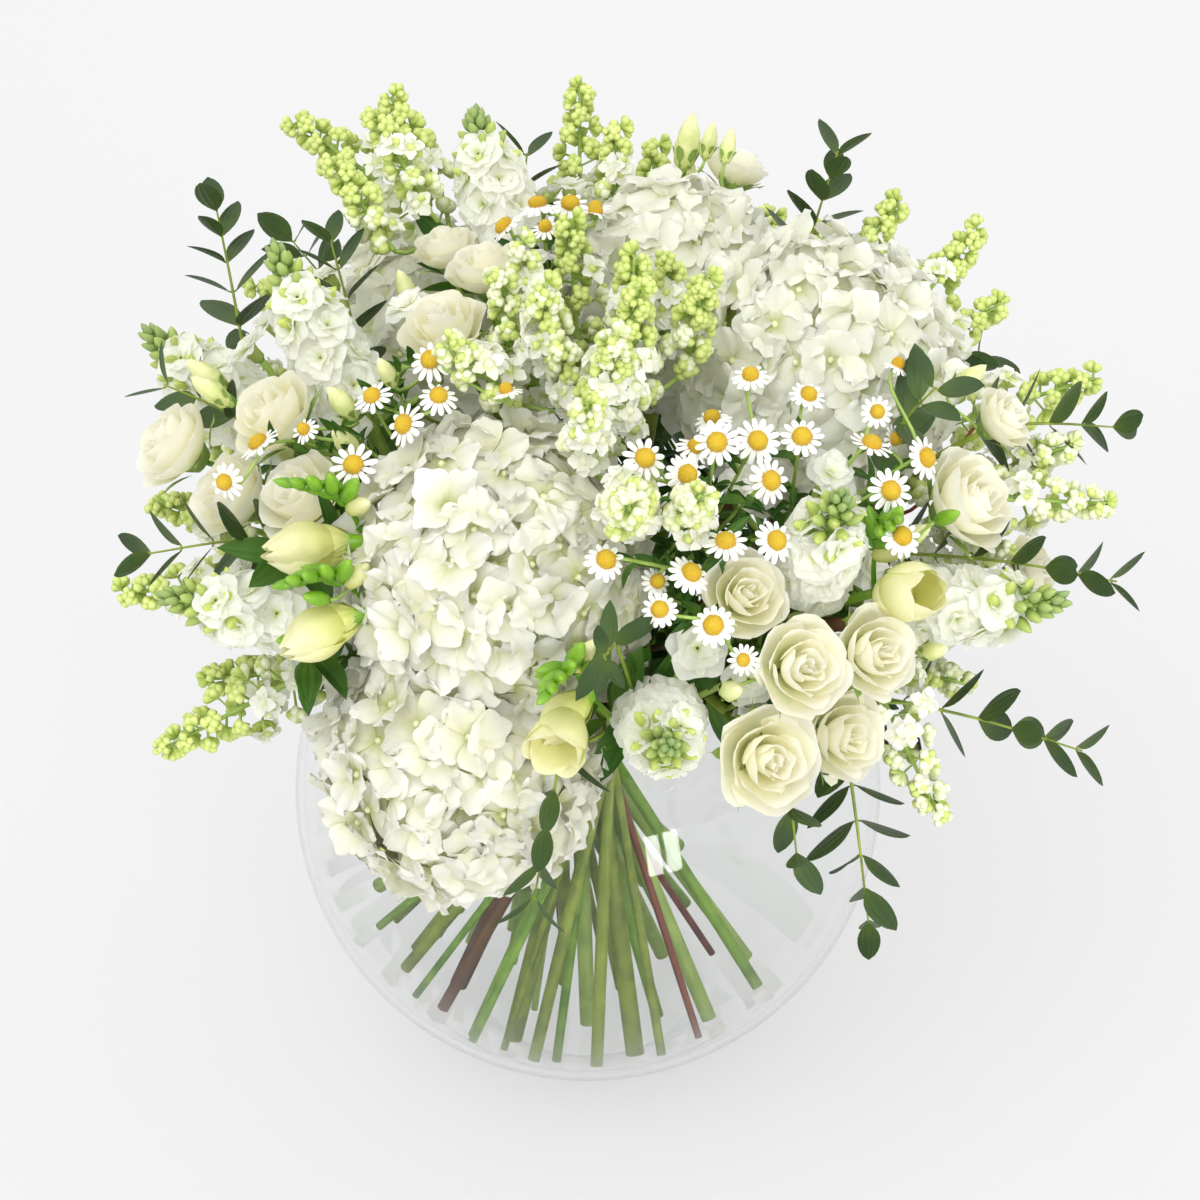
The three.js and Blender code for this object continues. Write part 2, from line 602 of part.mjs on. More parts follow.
function across(aim, angle) {
  const upright = Math.abs(aim.z) < 0.9 ? V(0, 0, 1) : V(1, 0, 0);
  const first = upright.cross(aim).normalize();
  const second = aim.clone().cross(first);
  return first.multiplyScalar(Math.cos(angle)).addScaledVector(second, Math.sin(angle)).normalize();
}

// A pointed bud with its root at `at`.
function bud(at, aim, width, length, spin) {
  return loose((air) => {
    const geometry = new THREE.OctahedronGeometry(1, 0);
    geometry.scale(width / 2 + 2 * air, width / 2 + 2 * air, length / 2 + 2 * air);
    return placed(geometry, at.clone().addScaledVector(aim, length * 0.3), aim, spin);
  });
}

// An open flower of pointed petals: rim at `radius`, heart in the middle, root sunk below.
function star(at, aim, { petals, radius, notch, cup, root, heart, spin, ruffle = 0 }) {
  const wave = (step, ring) => ({
    radial: ring === 1 && step % 2 ? notch : 1,
    lift: ring === 1 ? (step % 2 ? -ruffle : ruffle * ((step / 2) % 2 ? 1 : 0.2)) : 0,
  });
  const plain = [[0, -root], [radius, cup], [0, heart]];
  const thick = (air) => [[0, -root - air], [radius + air, cup - ruffle - air],
    [radius + air, cup + ruffle + air], [0, Math.max(heart, cup + ruffle) + air]];
  return loose((air) => (air > 0
    ? placed(turned(thick(air), petals, null), at, aim, spin)
    : placed(turned(plain, petals * 2, wave), at, aim, spin)));
}

// A leaf with its stalk end at `at`: widest nearer the stalk, pointed, thickest along the middle.
function leaf(at, aim, side, length, width, thick) {
  return loose((air) => {
    const geometry = turned([[0, -0.5], [1, 0], [0, 0.5]], 4);
    const place = geometry.getAttribute('position');
    for (let i = 0; i < place.count; i += 1) {
      if (Math.abs(place.getX(i)) < 0.5) place.setX(i, place.getX(i) - 0.15);
    }
    geometry.scale(length / 2 + 2 * air, width / 2 + 2 * air, thick + 4 * air);
    geometry.translate(length / 2 - 0.3, 0, 0);
    const x = aim.clone().normalize();
    const z = x.clone().cross(side).normalize();
    const y = z.clone().cross(x).normalize();
    geometry.applyMatrix4(new THREE.Matrix4().makeBasis(x, y, z));
    return geometry.translate(at.x, at.y, at.z);
  });
}

// Hydrangea: one closed ball of broad four-petalled florets. Petal tips stand out, hearts lie
// lower, and the seams between florets are deepest.
function hydrangea(head, random, cutters) {
  const aim = headAim(head);
  const at = vec(head.at);
  const points = [];
  const add = (direction, height) => points.push(Object.assign(direction, { height }));
  for (let i = 0; i < HYDRANGEA_FLORETS; i += 1) {
    const up = 1 - (2 * (i + 0.5)) / HYDRANGEA_FLORETS;
    const ring = Math.sqrt(1 - up * up);
    const centre = across(aim, i * 2.39996).multiplyScalar(ring).addScaledVector(aim, up).normalize();
    const lift = 0.04 * random();
    add(centre, 0.94 + lift);
    const turn = 3 * random();
    for (let corner = 0; corner < 8; corner += 1) {
      const tip = corner % 2 === 0;
      const reach = (tip ? 0.36 : 0.27) + 0.02 * random();
      const way = across(centre, turn + (corner * Math.PI) / 4);
      add(centre.clone().addScaledVector(way, reach).normalize(),
        (tip ? 1.0 + 0.07 * random() : 0.86 + 0.04 * random()) + lift);
    }
  }
  pressIn(points, at, head.size, cutters);
  return [fast(() => {
    const geometry = new ConvexGeometry(points);
    const place = geometry.getAttribute('position');
    const corner = V();
    for (let i = 0; i < place.count; i += 1) {
      corner.fromBufferAttribute(place, i);
      const nearest = points.reduce((best, point) => (
        point.distanceToSquared(corner) < best.distanceToSquared(corner) ? point : best));
      corner.multiplyScalar(head.size * nearest.height);
      place.setXYZ(i, corner.x, corner.y, corner.z);
    }
    return geometry.translate(at.x, at.y, at.z);
  })];
}

// Lowers the petals of a hydrangea where a neighbour presses on them. `points` are directions from
// its middle with a height as a share of its size.
function pressIn(points, at, size, cutters) {
  const reach = new THREE.Sphere(at, size * 1.12);
  const ray = new THREE.Ray(at);
  const hit = V();
  for (const entry of cutters.filter((each) => reach.intersectsBox(each.box))) {
    const { vertProperties, triVerts } = entry.solid.getMesh();
    const corners = [];
    for (let i = 0; i < vertProperties.length; i += 3) {
      corners.push(V(vertProperties[i], vertProperties[i + 1], vertProperties[i + 2]));
    }
    for (const point of points) {
      ray.direction.copy(point).normalize();
      for (let i = 0; i < triVerts.length; i += 3) {
        const [a, b, c] = [corners[triVerts[i]], corners[triVerts[i + 1]], corners[triVerts[i + 2]]];
        if (ray.intersectTriangle(a, b, c, false, hit)) lower(point, hit.distanceTo(at), size);
      }
      for (const corner of corners) {
        const away = corner.clone().sub(at);
        const distance = away.length();
        if (distance < size * 1.12 && away.divideScalar(distance).angleTo(point) < 0.2) lower(point, distance, size);
      }
    }
  }
}

function lower(point, distance, size) {
  const height = (distance - 1) / size;
  if (height > 0.76 && height < point.height) point.height = height;
}

const LILAC_WIDTHS = [0.55, 0.95, 1, 0.86, 0.68, 0.48, 0.3];

// Lilac: a slim cone of small buds, ring over ring, each bud between two of the ring below.
function lilac(head, random) {
  const aim = headAim(head);
  const length = head.size;
  const wide = 0.19 * length;
  const profile = [[0, -2], ...LILAC_WIDTHS.map((part, i) => [part * wide, (0.03 + 0.14 * i) * length]), [0, length]];
  const wave = (step, ring) => {
    const inRing = ring > 0 && ring <= LILAC_WIDTHS.length;
    const out = (step + ring) % 2 === 0;
    return {
      radial: inRing ? (out ? 1.12 : 0.6) + 0.12 * random() : 1,
      lift: inRing ? (out ? 2.5 : -1) : 0,
    };
  };
  const shape = turned(profile, 6, wave);
  return [fast(() => placed(shape, rootOf('lilac', head), aim))];
}

// Stock: ruffled double florets round a thick stem, and a knobbly cluster of closed buds at its tip.
function stock(head, random) {
  const aim = headAim(head);
  const length = head.size;
  const root = rootOf('stock', head);
  const profile = [[0, -2], [8, 2], [9, 0.66 * length], [8.5, 0.79 * length], [6, 0.9 * length], [0, length]];
  const wave = (step, ring) => ({
    radial: ring > 1 && ring < 5 ? ((step + ring) % 2 ? 1.25 : 0.7) : 1,
    lift: ring > 1 && ring < 5 && (step + ring) % 2 ? 2 : 0,
  });
  const shape = turned(profile, 6, wave);
  const pieces = [fast(() => placed(shape, root, aim))];
  for (let i = 0; i < 4; i += 1) {
    const part = 0.16 + 0.13 * i;
    const way = across(aim, i * 2.39996).addScaledVector(aim, 0.4).normalize();
    const at = root.clone().addScaledVector(aim, part * length).addScaledVector(way, 12);
    pieces.push(star(at, way, {
      petals: 4, radius: 18.5, notch: 0.72, cup: 2, root: 7, heart: 3.5, spin: random(), ruffle: 1.6,
    }));
  }
  return pieces;
}

const ROSE_SIDES = 6;

// A rose or lisianthus cup: an open outer tier of petals and a higher inner one turned against it.
function rose(head, random) {
  const aim = headAim(head);
  const at = vec(head.at);
  const size = head.size;
  if (size < 10) {
    return [{ ...bud(at.clone().addScaledVector(aim, -size), aim, size * 1.6, size * 3, random()), loose: false }];
  }
  const profile = [[0, -0.95], [0.85, -0.35], [1.0, 0.36], [0.66, 0.12], [0.58, 0.62], [0, 0.3]];
  const wave = (step, ring) => {
    const turn = (step % 2 ? 1 : -1) * (ring > 3 ? -1 : 1);
    const inRim = ring === 2 || ring === 4;
    return { radial: 1 + turn * (inRim ? 0.08 : 0.02), lift: inRim ? turn * 0.06 * size : 0 };
  };
  const scaled = profile.map(([radius, height]) => [radius * size, height * size]);
  return [fast(() => placed(turned(scaled, ROSE_SIDES, wave), at, aim, head.at[0] * 0.1))];
}

// Freesia: two tulip-shaped blooms and a row of closed buds along the arching tip.
function freesia(head, random) {
  const aim = headAim(head);
  const root = rootOf('freesia', head);
  const length = head.size;
  const side = across(aim, 0.6);
  const on = (forward, sideways) => root.clone()
    .addScaledVector(aim, forward * length).addScaledVector(side, sideways * length);
  const pieces = [];
  const bloom = (at, way, size) => fast((air) => {
    if (air > 0) {
      const shut = [[0, -0.5 * size - air], [0.42 * size + air, 0.2 * size], [0.52 * size + air, size + air],
        [0, 1.02 * size + air]];
      return placed(turned(shut, 6), at, way, 0.3);
    }
    const wave = (step, ring) => ({
      radial: ring === 2 && step % 2 ? 0.82 : 1, lift: ring === 2 && step % 2 ? -2.5 : 0,
    });
    const profile = [[0, -0.5], [0.42, 0.25], [0.5, 1.0], [0, 0.55]];
    return placed(turned(profile.map(([radius, height]) => [radius * size, height * size]), 6, wave), at, way, 0.3);
  });
  pieces.push(bloom(on(0.36, 0), aim, 0.48 * length));
  pieces.push(bloom(on(0.2, 0), aim.clone().addScaledVector(side, -1).normalize(), 0.4 * length));
  for (let i = 0; i < 3; i += 1) {
    const part = (i + 0.3) / 2.3;
    const way = side.clone().multiplyScalar(0.7).addScaledVector(aim, i % 2 ? 0.9 : 0.2).normalize();
    pieces.push(bud(on(0.45 + 0.14 * part, 0.2 + 0.38 * part), way, 9 - 3 * part, 19 - 7 * part, random()));
  }
  return pieces;
}

// Chamomile: white rays round a raised dome.
function chamomile(head, random) {
  return [{
    ...star(vec(head.at), headAim(head), {
      petals: 6, radius: 11.5, notch: 0.62, cup: 0.4, root: 3.5, heart: 4.2, spin: 3 * random(),
    }), loose: false,
  }];
}

// Eucalyptus: pairs of ovate leaves, each pair turned against the one before.
function eucalyptus(head, random) {
  const aim = headAim(head);
  const length = head.size;
  const spine = spineOf('eucalyptus', head);
  const onTwig = (part) => (part < 0.5
    ? spine[0].clone().lerp(spine[1], (part + 0.04) / 0.54)
    : spine[1].clone().lerp(spine[2], (part - 0.5) / 0.47));
  const pieces = [];
  const pairs = Math.max(2, Math.round(length / 30));
  for (let i = 0; i < pairs; i += 1) {
    const part = 0.16 + (0.78 * i) / (pairs - 1);
    for (const sign of [0, Math.PI]) {
      const out = across(aim, i * 1.57 + sign + 0.4 * random());
      const way = out.clone().addScaledVector(aim, LEAF_TILT + 0.4 * part).normalize();
      const size = 27 - 8 * part + 3 * random();
      pieces.push(leaf(onTwig(part), way, aim.clone().cross(out), size, size * 0.52, 1.8));
    }
  }
  return pieces;
}

const FORMS = { hydrangea, lilac, stock, rose, freesia, chamomile, eucalyptus };

// Plain shapes that hold a head with a little air round it, for cutting room into its neighbours.
function hullsOf(kind, head) {
  const aim = headAim(head);
  const size = head.size;
  const spindle = (profile, sides, spin) => placed(turned(profile, sides), vec(head.at), aim, spin);
  if (kind === 'hydrangea') {
    const [x, y, z] = head.at;
    return [new THREE.IcosahedronGeometry(size, 1).translate(x, y, z)];
  }
  if (kind === 'rose' && size < 10) return [spindle([[0, -size - 2], [size * 0.95, 0.1 * size], [0, size * 2.3]], 4, 0)];
  if (kind === 'rose') {
    const profile = [[0, -1.1 * size], [0.95 * size, -0.42 * size], [1.17 * size, 0.38 * size], [0, 1.15 * size]];
    return [spindle(profile, ROSE_SIDES, head.at[0] * 0.1)];
  }
  if (kind === 'chamomile') return [spindle([[0, -4.5], [13.5, 0.4], [0, 5.2]], 6, 0)];
  if (kind === 'lilac') {
    const wide = 0.19 * size * 1.28 + 0.5;
    const root = -0.5 * size;
    return [spindle([[0, root - 3], [0.6 * wide, root], [1.06 * wide, root + 0.22 * size],
      [0.35 * wide, root + 0.95 * size], [0, root + 1.05 * size]], 6, 0)];
  }
  return null;
}

// ---------------------------------------------------------------- bowl and tie
const BOWL_RINGS = [0, 16, 44, 82, 126, 170, 210, MOUTH_Z];

function sphereRadius(radius, z) {
  return Math.sqrt(radius * radius - (z - BOWL_CENTRE_Z) ** 2);
}

function outsideProfile(offset) {
  return BOWL_RINGS.map((z) => [sphereRadius(BOWL_RADIUS, z) + offset, z]);
}

// From the mouth down to the middle of the glass floor.
function insideProfile() {
  const wall = BOWL_RINGS.slice(1).reverse().map((z) => [sphereRadius(BOWL_RADIUS - GLASS, z), z]);
  return [...wall, [48, FLOOR_Z], [0, FLOOR_Z]];
}

function bowl() {
  const lipOuter = sphereRadius(BOWL_RADIUS, MOUTH_Z);
  const lipInner = sphereRadius(BOWL_RADIUS - GLASS, MOUTH_Z);
  const lip = [[lipOuter + 0.6, MOUTH_Z + 1.6], [(lipOuter + lipInner) / 2 + 0.4, MOUTH_Z + 2.8],
    [lipInner - 0.2, MOUTH_Z + 1.6]];
  return turned([[0, 0], ...outsideProfile(0), ...lip, ...insideProfile()], BOWL_SIDES);
}

function tie(stems) {
  let reach = 0;
  for (const stem of stems) {
    for (const height of [-5, 0, 5]) {
      const point = onStem(stem, height);
      const thick = stem.radius * 1.03;
      reach = Math.max(reach, Math.hypot(point.x - WAIST[0], point.y - WAIST[1]) + thick);
    }
  }
  const inner = reach / Math.cos(Math.PI / 18) + 0.3;
  const profile = [];
  for (let wrap = 0; wrap < 2; wrap += 1) {
    const z = -4 + wrap * 4.2;
    profile.push([inner + 1.2, z], [inner + 2.6, z + 2.1]);
  }
  profile.push([inner + 1.2, 4.4], [inner, 4.2], [inner, -4]);
  profile.push(profile[0]);
  const geometry = turned(profile, 18);
  return geometry.translate(WAIST[0], WAIST[1], WAIST[2]);
}

// ---------------------------------------------------------------- joining and clearing
function boxOf(solid) {
  const box = solid.boundingBox();
  return new THREE.Box3(vec(box.min), vec(box.max));
}

function largest(solid) {
  const parts = solid.decompose();
  let best = parts[0];
  for (const part of parts) if (part.volume() > best.volume()) best = part;
  return best;
}

// Takes the cutters that reach a piece off it. A loose piece that would lose much is left out.
function clearPiece(piece, cutters, least) {
  const solid = solidOf(piece.build(0));
  const box = boxOf(solid);
  const near = cutters.filter((entry) => entry.box.intersectsBox(box));
  if (near.length === 0) return solid;
  const left = solid.subtract(Manifold.union(near.map((entry) => entry.solid)));
  if (left.isEmpty()) return null;
  if (left.volume() > 0.9999 * solid.volume()) return solid;
  if (piece.loose && left.volume() < solid.volume() * least) return null;
  return left;
}

// Two hydrangeas that press together meet in a flat face with a little air between them.
function trimmed(solid, plant) {
  let left = solid;
  const [own] = plant.heads;
  for (const other of PLANTS.filter((entry) => entry.kind === 'hydrangea' && entry !== plant)) {
    const [head] = other.heads;
    const inward = vec(own.at).sub(vec(head.at));
    const distance = inward.length();
    if (distance > 1.15 * (own.size + head.size)) continue;
    inward.normalize();
    const fromOther = (distance ** 2 + head.size ** 2 - own.size ** 2) / (2 * distance);
    const offset = inward.dot(vec(head.at)) + fromOther + GAP / 2 + 0.02;
    left = left.trimByPlane([inward.x, inward.y, inward.z], offset);
  }
  return left;
}

// The thicker shape that keeps air round a piece; pieces with no such shape of their own are chunky
// and are scaled up a little about their middle.
function roomFor(piece) {
  const solid = solidOf(piece.build(GAP));
  if (piece.loose) return solid;
  const box = boxOf(solid);
  const [size, middle] = [box.getSize(V()), box.getCenter(V())];
  const more = (length) => (length + 6 * GAP) / length;
  return solid.translate([-middle.x, -middle.y, -middle.z])
    .scale([more(size.x), more(size.y), more(size.z)])
    .translate([middle.x, middle.y, middle.z]);
}

function cutter(solid, plant) {
  return { solid, plant, box: boxOf(solid) };
}

const COLOURS = {
  bowl: ['#e6ecec', 0.05], tie: ['#b79f74', 0.9],
  hydrangea_head: ['#f0f0e2', 0.75], hydrangea_stem: ['#7d8f4a', 0.7],
  lilac: ['#c3d084', 0.75], stock: ['#f1f3ea', 0.75], rose: ['#f4f1d6', 0.7],
  freesia: ['#e9eba0', 0.6], chamomile: ['#f6f6f0', 0.7], eucalyptus: ['#35533c', 0.65],
};

function meshOf(name, solid, colourKey) {
  const raw = largest(solid.simplify(SMOOTH)).getMesh();
  const geometry = new THREE.BufferGeometry();
  geometry.setAttribute('position', new THREE.BufferAttribute(raw.vertProperties, 3));
  geometry.setIndex(new THREE.BufferAttribute(raw.triVerts, 1));
  const [color, roughness] = COLOURS[colourKey];
  const mesh = new THREE.Mesh(geometry, new THREE.MeshStandardMaterial({ color, roughness, metalness: 0 }));
  mesh.name = name;
  return mesh;
}

const CLEAR_ORDER = ['chamomile', 'freesia', 'rose', 'eucalyptus', 'stock', 'lilac', 'hydrangea'];
const MAIN_SIDES = { hydrangea: 5, lilac: 4, stock: 5, rose: 4, freesia: 4, chamomile: 3, eucalyptus: 3 };
const sidesOf = (line) => (line.main ? MAIN_SIDES[line.plant.kind] : 3);

function assemble() {
  const group = new THREE.Group();
  const { stems, lines } = layOut();
  const bowlSolid = solidOf(bowl());
  group.add(meshOf('bowl', bowlSolid, 'bowl'));
  group.add(meshOf('tie', solidOf(tie(stems)), 'tie'));
  const overMouth = MOUTH_Z + 3 + GAP;
  const filled = solidOf(turned([[0, 0], ...outsideProfile(GAP + 0.3), [BOWL_LIP_RADIUS, overMouth], [0, overMouth]],
    BOWL_SIDES));
  const stemCutters = lines.map((line) => cutter(
    solidOf(tube(line.points, line.radius, sidesOf(line), GAP)), line.plant));
  const headCutters = [cutter(filled, null)];
  const lateHulls = PLANTS.filter((plant) => ['hydrangea', 'lilac'].includes(plant.kind))
    .flatMap((plant) => plant.heads.flatMap((head) => hullsOf(plant.kind, head)))
    .map((hull) => cutter(solidOf(hull), null));
  for (const kind of CLEAR_ORDER) {
    for (const plant of PLANTS.filter((entry) => entry.kind === kind)) {
      const random = seededRandom(SEED + PLANTS.indexOf(plant));
      const own = lines.filter((line) => line.plant === plant);
      const apart = kind === 'hydrangea';
      const cutters = [...headCutters,
        ...stemCutters.filter((entry) => entry.plant !== plant || apart)];
      const pieces = plant.heads.flatMap((head) => FORMS[kind](head, random, cutters));
      const least = kind === 'eucalyptus' ? 0.999 : 0.8;
      if (kind === 'eucalyptus') cutters.push(...lateHulls);
      const cleared = pieces.map((piece) => clearPiece(piece, cutters, least));
      const solids = cleared.filter((solid) => solid);
      const kept = pieces.filter((piece, i) => cleared[i]);
      const stalks = own.map((line) => solidOf(tube(line.points, line.radius, sidesOf(line))));
      if (apart) {
        const head = largest(trimmed(Manifold.union(solids), plant));
        group.add(meshOf(`${plant.name}_head`, largest(head), 'hydrangea_head'));
        group.add(meshOf(`${plant.name}_stem`, Manifold.union(stalks), 'hydrangea_stem'));
      } else {
        group.add(meshOf(plant.name, largest(Manifold.union([...stalks, ...solids])), kind));
      }
      for (const head of plant.heads) {
        const hulls = kind === 'hydrangea' ? null : hullsOf(kind, head);
        if (hulls) hulls.forEach((hull) => headCutters.push(cutter(solidOf(hull), plant)));
      }
      if (kind === 'hydrangea') continue;
      if (!hullsOf(kind, plant.heads[0])) {
        kept.forEach((piece) => headCutters.push(cutter(roomFor(piece), plant)));
      }
    }
  }
  return group;
}

const centrepiece = assemble();
centrepiece.name = 'floral_centrepiece';
export default centrepiece;
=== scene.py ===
"""Looks of the floral table centrepiece: a white and green bouquet in a clear round glass bowl.

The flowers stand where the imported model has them: the same table of heads, settled and tied by
the same rules, carries finer petals, buds, florets and leaves. Lengths here are millimetres until
a mesh is made, and the front is -Y.
"""
from functools import cache
from math import asin, atan2, cos, exp, hypot, pi, radians, sin, sqrt

import bpy
import numpy as np
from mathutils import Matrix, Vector


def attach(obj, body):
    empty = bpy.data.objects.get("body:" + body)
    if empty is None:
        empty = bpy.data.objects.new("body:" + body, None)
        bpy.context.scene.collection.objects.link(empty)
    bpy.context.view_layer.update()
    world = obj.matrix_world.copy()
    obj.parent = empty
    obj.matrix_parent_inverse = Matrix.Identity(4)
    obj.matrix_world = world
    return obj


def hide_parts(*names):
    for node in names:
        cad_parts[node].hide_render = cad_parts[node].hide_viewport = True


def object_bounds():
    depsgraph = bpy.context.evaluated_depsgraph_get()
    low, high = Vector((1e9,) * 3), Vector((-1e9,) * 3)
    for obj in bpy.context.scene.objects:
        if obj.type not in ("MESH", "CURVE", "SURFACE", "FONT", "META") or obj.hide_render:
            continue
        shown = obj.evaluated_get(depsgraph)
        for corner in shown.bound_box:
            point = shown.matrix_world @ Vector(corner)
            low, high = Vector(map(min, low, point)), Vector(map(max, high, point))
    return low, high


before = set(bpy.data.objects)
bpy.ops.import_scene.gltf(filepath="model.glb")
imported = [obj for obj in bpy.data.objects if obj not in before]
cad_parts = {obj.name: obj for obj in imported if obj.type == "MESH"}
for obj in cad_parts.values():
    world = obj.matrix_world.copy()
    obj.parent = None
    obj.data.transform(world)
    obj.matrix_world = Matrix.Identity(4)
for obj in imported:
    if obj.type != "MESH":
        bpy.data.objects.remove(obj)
CAD_BOX = [list(corner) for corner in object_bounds()]

# ---------------------------------------------------------------- dimensions shared with the solids (mm)
MM = 0.001
UP = Vector((0, 0, 1))
GAP = 0.5                   # least gap between two solids
BOWL_RADIUS = 140.0
BOWL_CENTRE_Z = 130.0
BOWL_CENTRE = Vector((0, 0, BOWL_CENTRE_Z))
GLASS = 3.5
FLOOR_Z = 5.0
FLOOR_RADIUS = 48
MOUTH_Z = 239.0
LIP_RADIUS = 88.0
BOWL_SIDES = 24
BOWL_RINGS = [0, 16, 44, 82, 126, 170, 210, MOUTH_Z]
WAIST = Vector((-12, 0, 150))
TWIST = 0.032               # how far the stems turn round the waist, per millimetre of height
STRAIGHT_TOP = 30           # how far over the waist the stems start to bend
FOCUS = Vector((0, 0, 185))     # what heads without a way of their own face away from
ROSE_BUD_SIZE = 10          # roses smaller than this are closed buds
HYDRANGEA_OVERLAP = 52      # how deep neighbouring hydrangeas press into each other
SETTLE_PASSES = 60
RELAX_PASSES = 140
WAIST_RINGS, WAIST_RING_STEP, WAIST_SPOKES = 70, 0.6, 90     # the places that a stem may take in the waist
STEM_RADIUS = {
    "hydrangea": 4.6, "lilac": 3.0, "stock": 3.8, "rose": 2.3, "freesia": 2.1, "chamomile": 1.7,
    "eucalyptus": 1.8,
}
TWIG_RADIUS = {"lilac": 1.5, "rose": 1.3, "freesia": 1.4, "chamomile": 0.8, "eucalyptus": 0.9}
SPINE_RADIUS = {"freesia": 1.5, "eucalyptus": 1.0}
SPINE_STEPS = {             # points of a spine, as shares of its length forwards and sideways
    "freesia": [(-0.04, 0), (0.4, 0.05), (0.6, 0.6)], "eucalyptus": [(-0.04, 0), (0.5, 0.03), (0.97, 0.11)],
}

DAISIES = [     # the daisies of each chamomile
    [(21, -130, 388), (8, -152, 366), (40, -122, 392), (46, -152, 360), (54, -168, 346)],
    [(54, -112, 395), (70, -104, 392), (56, -150, 372), (82, -140, 366), (76, -118, 384)],
    [(90, -96, 390), (120, -92, 384), (128, -110, 370), (144, -84, 372), (130, -126, 354)],
    [(-75, -90, 390), (-98, -96, 376), (-64, -58, 404), (-138, -68, 366)],
    [(-36, 48, 410), (-10, 78, 404), (-28, 66, 408), (-46, 134, 372), (-16, 142, 366)],
]
PLANTS = {      # each row is one stem, and its heads are (place of the middle, size, the way it points)
    "hydrangea": [
        [((-36, -100, 328), 67)],
        [((-55, -131, 246), 60, (-0.4, -0.9, 0.15))],
        [((36, 78, 360), 52)],
        [((106, 20, 350), 62)],
        [((-72, 96, 322), 60)],
    ],
    "lilac": [
        [((16, 114, 386), 90, (0, 0.4, 0.9))],
        [((-84, 100, 388), 92, (-0.75, 0.3, 0.45))],
        [((-30, -34, 404), 75, (-0.25, -0.1, 0.95)), ((-48, -74, 392), 60, (-0.45, -0.45, 0.75))],
        [((20, -44, 404), 70, (0.05, -0.1, 1)), ((-6, 16, 400), 70, (-0.05, 0.1, 1))],
        [((4, -88, 400), 80, (0, -0.4, 0.9)), ((2, -132, 374), 70, (0, -0.8, 0.5))],
        [((152, 84, 352), 85, (0.6, 0.4, 0.6)), ((186, 34, 330), 85, (0.9, 0, 0.35))],
        [((188, -42, 316), 95, (1, -0.15, 0.05))],
        [((-174, -38, 274), 80, (-1, -0.1, -0.05)), ((-154, -80, 237), 88, (-0.85, -0.35, -0.3))],
        [((130, -132, 268), 98, (0.4, -0.35, -0.75))],
        [((78, 158, 322), 90, (0.3, 0.85, 0.35))],
        [((-152, 104, 300), 90, (-0.75, 0.6, 0.15))],
    ],
    "stock": [
        [((-122, 4, 382), 95, (-0.5, 0.35, 0.75))],
        [((-174, 38, 332), 84, (-0.85, 0.3, 0.4))],
        [((-146, -95, 298), 88, (-1, -0.2, 0.1))],
        [((36, -176, 290), 70, (0.05, -0.95, 0.3))],
        [((100, -126, 356), 80, (0.2, -0.5, 0.85))],
        [((166, -100, 300), 88, (1, -0.25, 0.05))],
        [((-60, 98, 384), 75, (-0.3, 0.5, 0.8))],
        [((4, 170, 306), 85, (0, 0.95, 0.25))],
    ],
    "rose": [
        [((-138, -40, 366), 19), ((-180, -26, 338), 19), ((-166, -6, 362), 8)],
        [((-62, -24, 402), 18), ((-46, 24, 404), 16), ((-64, 52, 398), 14)],
        [((-126, -76, 350), 19), ((-160, -50, 332), 19)],
        [((80, -174, 288), 21), ((88, -162, 322), 19), ((112, -152, 276), 18)],
        [((118, -148, 318), 18), ((70, -154, 342), 17)],
        [((166, -74, 344), 21), ((184, -26, 356), 14), ((194, -58, 306), 15)],
        [((48, 130, 404), 9), ((66, 122, 398), 14), ((60, 156, 362), 19)],
        [((-44, 172, 296), 20), ((-80, 158, 312), 18), ((-62, 168, 270), 17)],
    ],
    "freesia": [
        [((-122, -116, 346), 62, (-0.9, -0.4, 0.15))],
        [((-114, -142, 320), 60, (-0.8, -0.6, -0.1))],
        [((-12, -190, 300), 64, (-0.3, -0.95, -0.2))],
        [((134, -132, 340), 60, (0.45, -0.7, 0.5))],
        [((120, 134, 306), 60, (0.6, 0.75, 0.25))],
    ],
    "chamomile": [[(place,) for place in spray] for spray in DAISIES],
    "eucalyptus": [
        [((-166, 90, 362), 84, (-0.15, 0.35, 0.9)), ((-166, 4, 344), 60, (-0.8, 0.05, 0.55))],
        [((-108, 32, 384), 70, (-0.2, 0.3, 0.9)), ((-42, 94, 386), 60, (0.1, 0.4, 0.9))],
        [((106, 114, 376), 92, (0.25, 0.35, 0.9))],
        [((206, -6, 342), 66, (0.95, 0, 0.1)), ((140, -54, 378), 60, (0.3, -0.4, 0.85))],
        [((184, -74, 314), 100, (1, -0.1, 0.02))],
        [((170, -114, 258), 100, (1, -0.15, -0.1))],
        [((118, -148, 220), 80, (0.15, -0.25, -0.95)), ((85, -168, 264), 60, (0.1, -0.8, -0.55))],
        [((-17, -186, 256), 62, (-0.2, -0.5, -0.85)), ((10, -178, 342), 55, (-0.1, -0.8, 0.55))],
        [((-157, -66, 326), 80, (-1, -0.1, 0.05))],
        [((-112, 150, 318), 90, (-0.5, 0.8, 0.35))],
        [((158, 122, 290), 90, (0.8, 0.55, 0.1)), ((26, 174, 272), 80, (0.1, 0.95, -0.1))],
    ],
}

